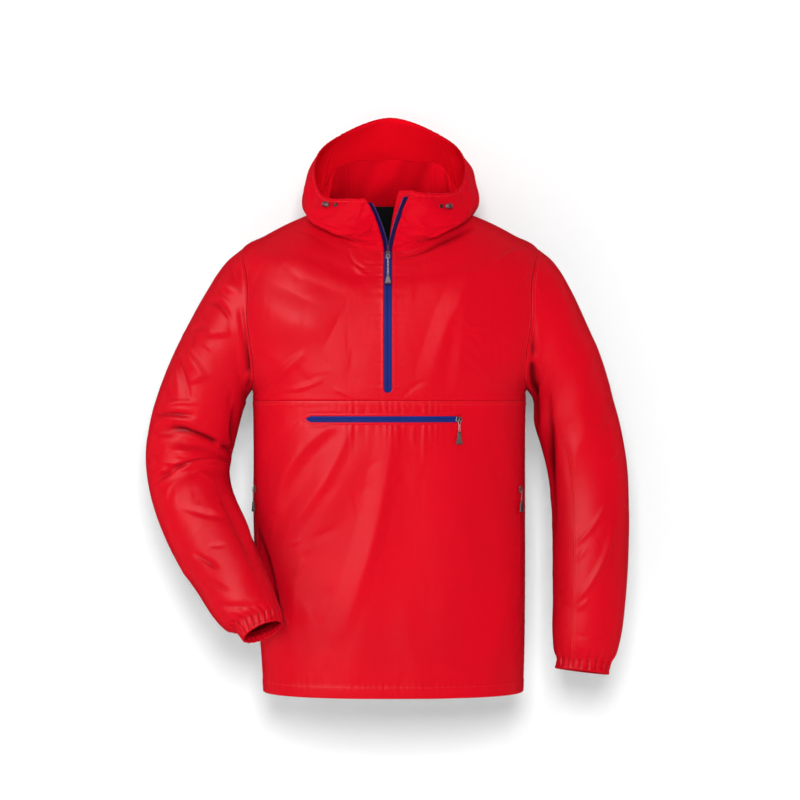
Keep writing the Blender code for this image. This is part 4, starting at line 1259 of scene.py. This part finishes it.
def makeCuff(name, side):
    # doubled cloth drawn up by elastic: deep uneven pleats and a rolled edge, turned in at its end
    turns = np.linspace(0, 2 * math.pi, sleeves["cuffColumns"])[None, ::side]
    plain = sleevePoint(side, turns, np.linspace(cuffStart, 15, 14)[:, None])
    centre = sleevePoint(side, np.linspace(0, 2 * math.pi, 25)[:-1], 15.0).mean(0)
    curl = np.linspace(0, math.pi, 6)[1:, None, None]
    inward, onward = centre - plain[-1], plain[-1] - plain[-2]
    inward /= np.linalg.norm(inward, axis=-1, keepdims=True)
    onward /= np.linalg.norm(onward, axis=-1, keepdims=True)
    rolled = plain[-1] + (onward * np.sin(curl) + inward * (1 - np.cos(curl))) * sleeves["cuffRoll"] * mm
    inner = plain[-2:-10:-1] + inward * 2 * sleeves["cuffRoll"] * mm
    points = np.concatenate([plain, rolled, inner])
    steps = np.arange(len(points))
    along = np.minimum(steps, 2 * len(plain) + 4 - steps)[:, None] / len(plain)
    uneven = unevenTurns(turns, side)
    wave = np.sin(sleeves["gathers"] * turns + 2.2 * uneven)
    fine = np.sin(2 * sleeves["gathers"] * turns + 3 * uneven + 4 * along)
    height = (0.95 * wave + 0.5 * fine) * (0.75 + 0.25 * np.cos(along * 3.0))
    height = height - 0.6 * ridge(along, 0.62, 0.07)
    normals = gridNormals(plain)[np.minimum(steps, len(plain) - 1)]
    points = points + normals * height[..., None] * mm
    label, node, cloth = f"cloth_cuff_{name}", f"cuff_{name}", fabric["cuffCloth"]
    # painted shade: the valleys between the pleats darken towards the cloth's deep colour
    mesh = gridMesh(label, points, None, np.clip(-height / 3, 0, 1), closed=True)
    return newPiece(label, mesh, cloth, [node], thickness=sleeves["cuffThickness"])


sideOf = {"right": -1, "left": 1}
sleevePieces = [makeSleeve(name, side) for name, side in sideOf.items()]
cuffPieces = [makeCuff(name, side) for name, side in sideOf.items()]
print("sleeves and cuffs made")

# The hood, lying back: two sides and a middle panel, with a cord tunnel along the rim
hood = {"thickness": 0.7, "step": 2.8, "wave": 2.4, "collarFolds": 1.3}


def hoodWork(ribs, levels):
    # slack cloth lies in soft waves, more towards the bag behind
    slack = smoothStep(1.5, 5.0, levels) * (1 - smoothStep(8.0, 9.0, levels))
    slow = np.sin(ribs * 2.6 + 0.9 * np.sin(levels * 1.3)) + 0.6 * np.sin(ribs * 5.1 + levels * 1.7 + 1.2)
    lines = np.sin(levels * 3.1 + 1.4 * np.sin(ribs * 1.9) + 0.6) * 0.6
    low = np.sin(ribs * 9.0 + 2.0 * np.sin(levels * 2.1)) * 0.35 * smoothStep(0.2, 2.0, levels)
    return hood["wave"] * (slack * (slow + lines) * 0.5 + low)


def behindNeck(ribs):
    # 1 behind the neck and 0 in front
    return smoothStep(1.8, 3.0, ribs) * (1 - smoothStep(7.0, 8.2, ribs))


def collarFolds(ribs, levels):
    # slack upright folds round the back of the collar, inside the hood
    slant = ribs * 4.3 + 0.8 * levels + 0.9 * np.sin(ribs * 2.3 + levels)
    reach = smoothStep(0.1, 1.0, levels) * (1 - smoothStep(1.9, 2.9, levels))
    waves = np.sin(slant) + 0.5 * np.sin(2.3 * slant + 1.1)
    return hood["collarFolds"] * waves * reach * behindNeck(ribs)


def collarShade(ribs, levels, folds):
    # the collar lies in its own shade: deeper at its foot and between its folds
    reach = behindNeck(ribs) * (1 - smoothStep(1.9, 2.9, levels))
    return reach * (0.24 + 0.5 * (1 - smoothStep(0.1, 1.5, levels)) + 0.14 * np.clip(folds, -1, 2))


def makeHoodPanel(name, start, end, edges, phase):
    acrossLevels, middle = np.array([1.0, 4.0, 7.0, 9.0])[None], np.linspace(start, end, 5)[None]
    ribs = evenSteps(lambda rib: hoodPoint(rib[:, None], acrossLevels), start, end, hood["step"])[None]
    levels = evenSteps(lambda level: hoodPoint(middle, level[:, None]), 0, lastLevel, hood["step"])[:, None]
    rows = np.broadcast_to(levels, (len(levels), ribs.shape[1]))
    folds = collarFolds(ribs, rows)
    slack = hoodWork(ribs, rows) + folds
    extra = lambda points, gaps: slack * smoothStep(0, 12, np.minimum(gaps["top"], gaps["bottom"]))
    points, hollow = workCloth(hoodPoint(ribs, rows), edges, (), (), extra, phase)
    hollow = hollow + collarShade(ribs, rows, folds)
    outside, inside = fabric["hoodCloth"], fabric["litReverseCloth"]
    piece = clothPiece(f"cloth_{name}", points, hollow, [name], outside, hood["thickness"], inside=inside)
    lines = [lineAlong(points, "top", edging["tunnel"])]
    felled = [place for place, kind in edges.items() if kind == "felled"]
    lines += [lineAlong(points, place, edging["hoodFelled"]) for place in felled]
    stitchPiece(f"stitches_{name}", lines)
    return piece


low, high = centrePanel
hoodPanels = {  # first rib, last rib, bottom, start and end edges, phase
    "hood_side_left": (0, low, "soft", "tunnel", "seam", 0.3),
    "hood_centre": (low, high, "seam", "felled", "felled", 1.9),
    "hood_side_right": (high, lastRib, "soft", "seam", "tunnel", 2.8),
}
for name, (first, last, bottom, start, end, phase) in hoodPanels.items():
    edges = {"bottom": bottom, "start": start, "end": end, "top": "tunnel"}
    makeHoodPanel(name, first, last, edges, phase)
print("hood made")

# Zips: flat woven tape with a slit down its middle, coils along the open edges, and a flap
zips = {
    "tapeThick": 0.5,
    "frontRows": (5.2, 14, 2.4),  # first row, last row and step in mm
    "frontHalf": 8.5,
    "frontSink": 1.0,
    "openLevels": (0.05, 8.1, 60),
    "openWidth": 6.4,
    "openShift": (0, 0.0009, 0),  # metres behind the hood's front edge
    "pocketSink": 0.75,
    "coilPitch": 1.5,
    "coilSize": (2.4, 1.5, 0.9),
    "coilRadius": 0.6,
    "sideHalf": 2.4,
    "sideDegrees": 0.8,
    "flapThick": 1.0,
    "flapLevels": (0.4, 8.8, 60),
    "flapWidth": 22,
    "flapShift": (0.004, 0.004, 0.002),
    "labelRows": (11.3, 13.9, 2.0),
    "labelThick": 0.6,
    "labelHalf": 24,
    "labelSink": 1.9,
}
frontSpread = [0.04, 0.1, 0.25, 0.5, 0.75, 1]  # columns of a tape as shares of its half width
pocketSpread = [0.07, 0.2, 0.5, 0.8, 1]


def tapeProfile(across, half):
    # the two halves bow up a little and meet in a slit
    return -0.7 * ridge(across, 0, 0.6) + 0.25 * np.cos(np.pi * np.clip(across / half, -1, 1) * 0.5)


def mirrored(spread):
    return np.array([-share for share in spread[::-1]] + [0] + spread)


def tapePiece(name, plain, lift, node, material, thickness):
    points = plain + gridNormals(plain) * lift[..., None] * mm
    return clothPiece(name, points, None, [node], material, thickness)


def layOnBody(x, z):
    # points of the body's front at given x and z in mm
    rows = rowAtHeight(np.asarray(z, float))
    for _ in range(6):
        found = bodyPoint(angleAt(x, rows), rows)[..., 2] / mm
        rows = rows + (z - found) * 0.011
    return bodyPoint(angleAt(x, rows), rows)


def makeFrontTape():
    rows = stepsUpBody(np.array([-math.pi / 2]), *zips["frontRows"])
    rows = rows[splineRead(bodyRows, rows)[:, 4] > zipBottom - 4][:, None]
    across = mirrored(frontSpread) * zips["frontHalf"]
    plain = bodyPoint(angleAt(zipX + across[None], rows), rows)
    lift = (tapeProfile(across, zips["frontHalf"]) - zips["frontSink"])[None]
    tapePiece("tape_front", plain, lift, "zip_tape_front", fabric["zipTape"], zips["tapeThick"])


def makeOpenTape(name, rib, side):
    levels = np.linspace(*zips["openLevels"])
    edge = hoodPoint(rib, levels)
    inward = np.array([-side, 0.25, 0])
    room = np.maximum(np.abs(edge[:, 0] / mm - zipX) - 1.2, 2.0)
    width = np.minimum(zips["openWidth"], room)[:, None, None]
    share = np.linspace(-0.5, 1, 10)[None, :, None]
    points = edge[:, None] + zips["openShift"] + inward * share * width * mm
    if side > 0:
        points = points[:, ::-1]
    label, tape = f"tape_{name}", fabric["shadedOpenTape"]
    clothPiece(label, points, None, [f"zip_{label}"], tape, zips["tapeThick"])
    coilLine = points[:, 0] if side > 0 else points[:, -1]
    travelled = travelAlong(coilLine)
    places = np.arange(0.5, travelled[-1], zips["coilPitch"])
    size = Matrix.Diagonal((*(part * mm for part in zips["coilSize"]), 1))
    bm = bmesh.new()
    for spot in readAlong(places, travelled, coilLine):
        place = Matrix.Translation(Vector(spot)) @ size
        bmesh.ops.create_icosphere(bm, subdivisions=1, radius=zips["coilRadius"], matrix=place)
    newPiece(f"coil_{name}", meshFrom(f"coil_{name}", bm), finish["zipCoil"])


def makeFlap():
    # the wind flap behind the left half of the zip
    levels = np.linspace(*zips["flapLevels"])
    edge = hoodPoint(0, levels)[:, None]
    width = (zips["flapWidth"] * (0.25 + 0.75 * levels / lastLevel))[:, None, None] * mm
    share = np.linspace(0, 1, 16)[None, :, None]
    plain = edge + zips["flapShift"] + np.array([-1, 0.3, 0]) * share * width
    edges = {"start": "felled", "top": "seam"}
    points, hollow = workCloth(plain[:, ::-1], edges, (), (), None, 0.9)
    return clothPiece("cloth_zip_flap", points, hollow, ["zip_flap"], fabric["hoodCloth"], zips["flapThick"])


def makePocketTape():
    low, high = body["pocketX"]
    x = np.linspace(low + 1.5, high, 100)
    half = body["pocketHalf"] * np.clip((x - low) / body["pocketTaper"], 0.08, 1) + 0.5
    across = mirrored(pocketSpread)[:, None] * half
    z = body["pocketZ"] + across
    plain = layOnBody(np.broadcast_to(x, z.shape), z)
    lift = tapeProfile(across, body["pocketHalf"]) - zips["pocketSink"] + 0.35
    tapePiece("tape_pocket", plain, lift, "zip_tape_pocket", fabric["zipTape"], zips["tapeThick"])


def makeSideZip(name, side):
    tries = np.linspace(0, rowOf["chestSeam"], 501)
    rows = np.interp(np.linspace(*body["sideZipZ"], 70), splineRead(bodyRows, tries)[:, 5], tries)
    across = np.linspace(-1, 1, 9)
    angles = math.radians(body["sideZipDegrees"][side]) + math.radians(zips["sideDegrees"]) * across
    plain = bodyPoint(angles[None], rows[:, None])
    lift = tapeProfile(across * zips["sideHalf"], zips["sideHalf"])[None] + 0.2
    label = f"tape_side_{name}"
    tapePiece(label, plain, lift, f"zip_{label}", fabric["windCloth"], zips["tapeThick"])


def makeLabel():
    rows = stepsUpBody(np.array([math.pi / 2]), *zips["labelRows"])[:, None]
    x = np.linspace(zips["labelHalf"], -zips["labelHalf"], 33)
    plain = bodyPoint(-angleAt(x[None], rows), rows)
    lift = np.full(plain.shape[:2], -zips["labelSink"])
    cloth = fabric["neckLabel"]
    return tapePiece("label_neck", plain, lift, "neck_label", cloth, zips["labelThick"])


makeFrontTape()
makeOpenTape("left", 0, 1)
makeOpenTape("right", lastRib, -1)
makePocketTape()
makeSideZip("left", 1)
makeSideZip("right", -1)
flapPiece, labelPiece = makeFlap(), makeLabel()
print("zips, flap and label made")

# Hard parts: zip sliders with their pulls, and the hood's toggles and eyelets
pulls = {
    "bailWire": 0.55,
    "cordWire": 0.495,
    "gripFace": 0.72,  # how thick a grip is between its ends
    "gripWide": 10.0,
    "gripThick": 2.2,
    "gripTaper": 0.45,
    "onCloth": 2.35,
    "onTape": 0.8,
    "hingeOut": 3.45,
    "hingeDrop": 0.6,
}
pullTable = {  # sliderWide, sliderTall, linkLong, gripLong, finishes of the slider, the link and the grip
    "front": (7, 12, 38, 15, "slider", "pullLink", "frontGrip"),
    "pocket": (10, 7, 17, 18, "slider", "pullLink", "pocketGrip"),
    "side_left": (6, 11, 17, 15, "sideSlider", "sideLink", "sideGrip"),
    "side_right": (6, 11, 17, 15, "sideSlider", "sideLink", "sideGrip"),
}
bailLine = (-1.6, 3.5), (-3.2, 3.3), (-4.7, 2.2), (-5.0, 0.4), (-4.8, -1.6), (-3.4, -2.8), (-1.6, -3.1)


def slopes(surface, across, along, step=0.01):
    # directions on a surface, across it and along it
    ahead = surface(across + step, along) - surface(across - step, along)
    return Vector(ahead), Vector(surface(across, along + step) - surface(across, along - step))


def frameOnBody(angle, row, out):
    # axes that stand on the body: X round it, Y into it, Z up it
    around, up = slopes(bodyPoint, angle, row)
    into = up.cross(around).normalized()
    across = into.cross(Vector((0, 0, 1))).normalized()
    return standOn(Vector(bodyPoint(angle, row)) - into * out * mm, across, into, across.cross(into))


def addBlock(bm, size, place, taper=1.0, bevel=0.4, inset=0.0, sunk=0.0, front=0):
    # a bevelled block, narrower at its top, with a sunk or raised panel on its face
    made = bmesh.ops.create_cube(bm, size=1)["verts"]
    for vert in made:
        narrow = taper if vert.co.z > 0 else 1
        vert.co = Vector((vert.co.x * size[0] * narrow, vert.co.y * size[1], vert.co.z * size[2])) * mm
        vert.co += Vector(place) * mm
    faces = list({face for vert in made for face in vert.link_faces})
    edges = list({edge for vert in made for edge in vert.link_edges})
    if inset:
        panels = [face for face in faces if abs(face.normal.y) > 0.9]
        bmesh.ops.inset_individual(bm, faces=panels, thickness=inset * mm, depth=-sunk * mm)
        for face in panels:
            face.material_index = front
    look = {"segments": 3, "affect": "EDGES", "profile": 0.5, "material": -1, "clamp_overlap": True}
    bmesh.ops.bevel(bm, geom=edges, offset=bevel * mm, **look)


tubeSides = 8


def addTube(bm, line, radius, closed=False):
    # a round wire along a line of points
    count = len(line)
    rings = []
    for number, spot in enumerate(line):
        last, after = line[(number - 1) % count], line[(number + 1) % count]
        if not closed:
            last, after = line[max(number - 1, 0)], line[min(number + 1, count - 1)]
        ahead = (Vector(after) - Vector(last)).normalized()
        turn = ahead.to_track_quat("Z", "Y").to_matrix().to_4x4()
        place = Matrix.Translation(Vector(spot) * mm) @ turn
        made = bmesh.ops.create_circle(bm, segments=tubeSides, radius=radius * mm, matrix=place)
        rings.append(made["verts"])
    for first, second in zip(rings, rings[1:] + rings[:1] if closed else rings[1:]):
        # the two rings are joined where they lie nearest, and in the same turning sense
        start = min(range(tubeSides), key=lambda k: (second[k].co - first[0].co).length)
        near, far = ((second[(start + k) % tubeSides].co - first[1].co).length for k in (1, -1))
        order = [second[(start + (k if near < far else -k)) % tubeSides] for k in range(tubeSides)]
        for k in range(tubeSides):
            after = (k + 1) % tubeSides
            bm.faces.new((first[k], first[after], order[after], order[k]))
    if not closed:
        for ring in (rings[0], rings[-1]):
            bm.faces.new(ring)


def hardPiece(node, bm, matrix, looks, body="garment"):
    bmesh.ops.transform(bm, matrix=matrix, verts=bm.verts)
    bmesh.ops.recalc_face_normals(bm, faces=bm.faces)
    mesh = meshFrom(f"{node}_look", bm)
    mesh.shade_smooth()
    newPiece(f"{node}_look", mesh, finish[looks[0]], [node], body)
    for look in looks[1:]:
        mesh.materials.append(finish[look])


def makePull(name, matrix):
    sliderWide, sliderTall, linkLong, gripLong, metal, cord, face = pullTable[name]
    bm = bmesh.new()
    addBlock(bm, (sliderWide, 1.0, sliderTall), (0, -0.5, 0), 0.8, 0.35)
    addBlock(bm, (sliderWide * 0.94, 1.0, sliderTall * 0.96), (0, -2.0, 0), 0.8, 0.35, 0.9, 0.25, 1)
    addBlock(bm, (sliderWide * 0.36, 1.2, sliderTall * 0.4), (0, -1.2, sliderTall * 0.24), 1.0, 0.2)
    addTube(bm, [(0, y, z) for y, z in bailLine], pulls["bailWire"])
    hardPiece(f"slider_{name}", bm, matrix, [metal, "darkMetal"])
    hinge = matrix @ Matrix.Translation((0, -pulls["hingeOut"] * mm, -pulls["hingeDrop"] * mm))
    bm = bmesh.new()
    foot = -linkLong
    side = [(0.5, 0.05), (1.3, -0.2), (2.0, -1.6), (1.7, -4.0), (0.85, -7.0)]
    side += [(0.8, foot + 5), (1.2, foot + 2.4), (1.0, foot + 0.3)]
    line = [(x, 0, z) for x, z in side] + [(-x, 0, z) for x, z in side[::-1]]
    addTube(bm, line, pulls["cordWire"], True)
    for high in np.arange(-8, foot + 4, -6.0):
        place = Matrix.Translation((0, 0, high * mm)) @ Matrix.Diagonal((1.5 * mm, 0.9 * mm, 0.9 * mm, 1))
        bmesh.ops.create_icosphere(bm, subdivisions=2, radius=1, matrix=place)
    hardPiece(f"link_{name}", bm, hinge, [cord], f"{name}_pull")
    bm = bmesh.new()
    top, wide, thick = foot - 0.8, pulls["gripWide"], pulls["gripThick"]
    size = (wide, thick * pulls["gripFace"], gripLong)
    addBlock(bm, size, (0, 0, top - gripLong / 2), pulls["gripTaper"], 0.5, 1.1, -0.3, 1)
    addBlock(bm, (wide, thick, 2.2), (0, 0, top - gripLong + 1.1), 0.93, 0.5)
    addBlock(bm, (wide * 0.5, thick, 2.0), (0, 0, top - 1.0), 0.92, 0.4)
    hardPiece(f"grip_{name}", bm, hinge, ["gripEdge", face], f"{name}_pull")


frontRow, pocketRow, sideRow = 13.3, rowAtHeight(body["pocketZ"]), rowAtHeight(body["sideZipZ"][1])
pullFrames = {
    "front": frameOnBody(angleAt(zipX, frontRow), frontRow, pulls["onTape"]),
    "pocket": frameOnBody(angleAt(body["pocketX"][1] + 1, pocketRow), pocketRow, pulls["onCloth"]),
    "side_left": frameOnBody(math.radians(body["sideZipDegrees"][1]), sideRow, pulls["onCloth"]),
    "side_right": frameOnBody(math.radians(body["sideZipDegrees"][-1]), sideRow, pulls["onCloth"]),
}
for name, matrix in pullFrames.items():
    makePull(name, matrix)

toggles = {
    "long": 7.0,
    "thick": 3.6,
    "high": 4.4,
    "offCloth": 1.05,
    "grooveHalf": 0.14,  # share of its half length
    "grooveDeep": 0.80,
    # painted shade: the groove, both ends and one long side take the darker toggleShade finish
    "darkMiddle": 0.2,
    "darkEnd": 0.86,
    "holeRadius": 1.5,
    "eyeletRadius": 2.6,
    "eyeletHole": 2.2,
    "eyeletWire": 0.7,
}
toggleTable = {"left": (1.53, 8.08, 1.36, 8.14), "right": (8.3, 8.4, 8.54, 8.48)}  # rib and level of each


def frameOnHood(rib, level, lift):
    # axes that stand on the outside of the hood: X along the rim and Y out of the cloth
    spot = Vector(hoodPoint(rib, level))
    along, up = slopes(hoodPoint, rib, level)
    along.normalize()
    out = along.cross(up).normalized()
    if out.dot(Vector((spot.x, spot.y, 0))) < 0:
        out.negate()
    return standOn(spot + out * (toggles["offCloth"] + lift) * mm, along, out, along.cross(out))


def makeToggle(side):
    # a barrel cord lock: two ends squeezed together on a spring, with a groove between them
    toggleRib, toggleLevel, eyeletRib, eyeletLevel = toggleTable[side]
    bm = bmesh.new()
    turn = Matrix.Rotation(math.pi / 2, 4, "Y")
    made = bmesh.ops.create_uvsphere(bm, u_segments=28, v_segments=20, radius=1, matrix=turn)["verts"]
    for vert in made:
        share = vert.co.x
        waist = toggles["grooveDeep"] if abs(share) < toggles["grooveHalf"] else 1.0
        swell = min(1.0, (1 - abs(share) ** 3.2) ** 0.5 / max((1 - share**2) ** 0.5, 1e-3)) * waist
        thick, high = vert.co.y * toggles["thick"] * swell, vert.co.z * toggles["high"] * swell
        vert.co = Vector((share * toggles["long"] * 0.98, thick, high)) * mm
    # painted shade: faces in the groove, at the ends and along one long side take the darker finish
    for face in bm.faces:
        middle = face.calc_center_median()
        share = abs(middle.x / mm / toggles["long"])
        dark = share < toggles["darkMiddle"] or share > toggles["darkEnd"] or middle.z > 3.0 * mm
        face.material_index = int(dark)
    lie = Matrix.Rotation(math.pi / 2, 4, "X")
    radius = toggles["holeRadius"] * mm
    for end in (1, -1):
        hole = Matrix.Translation((end * toggles["long"] * 0.5 * mm, toggles["thick"] * 0.80 * mm, 0)) @ lie
        size = {"radius1": radius, "radius2": radius, "depth": 1.0 * mm}
        bmesh.ops.create_cone(bm, cap_ends=True, segments=14, matrix=hole, **size)
    matrix = frameOnHood(toggleRib, toggleLevel, toggles["thick"])
    hardPiece(f"toggle_{side}", bm, matrix, ["toggle", "toggleShade"])
    bm = bmesh.new()
    radius = toggles["eyeletRadius"]
    ring = [(math.cos(t) * radius, 0, math.sin(t) * radius) for t in np.linspace(0, 2 * math.pi, 25)[:-1]]
    addTube(bm, ring, toggles["eyeletWire"], True)
    bmesh.ops.create_circle(bm, cap_ends=True, segments=24, radius=toggles["eyeletHole"] * mm, matrix=lie)
    matrix = frameOnHood(eyeletRib, eyeletLevel, toggles["eyeletWire"])
    hardPiece(f"eyelet_{side}", bm, matrix, ["eyelet"])


for side in toggleTable:
    makeToggle(side)
print("hard parts made")
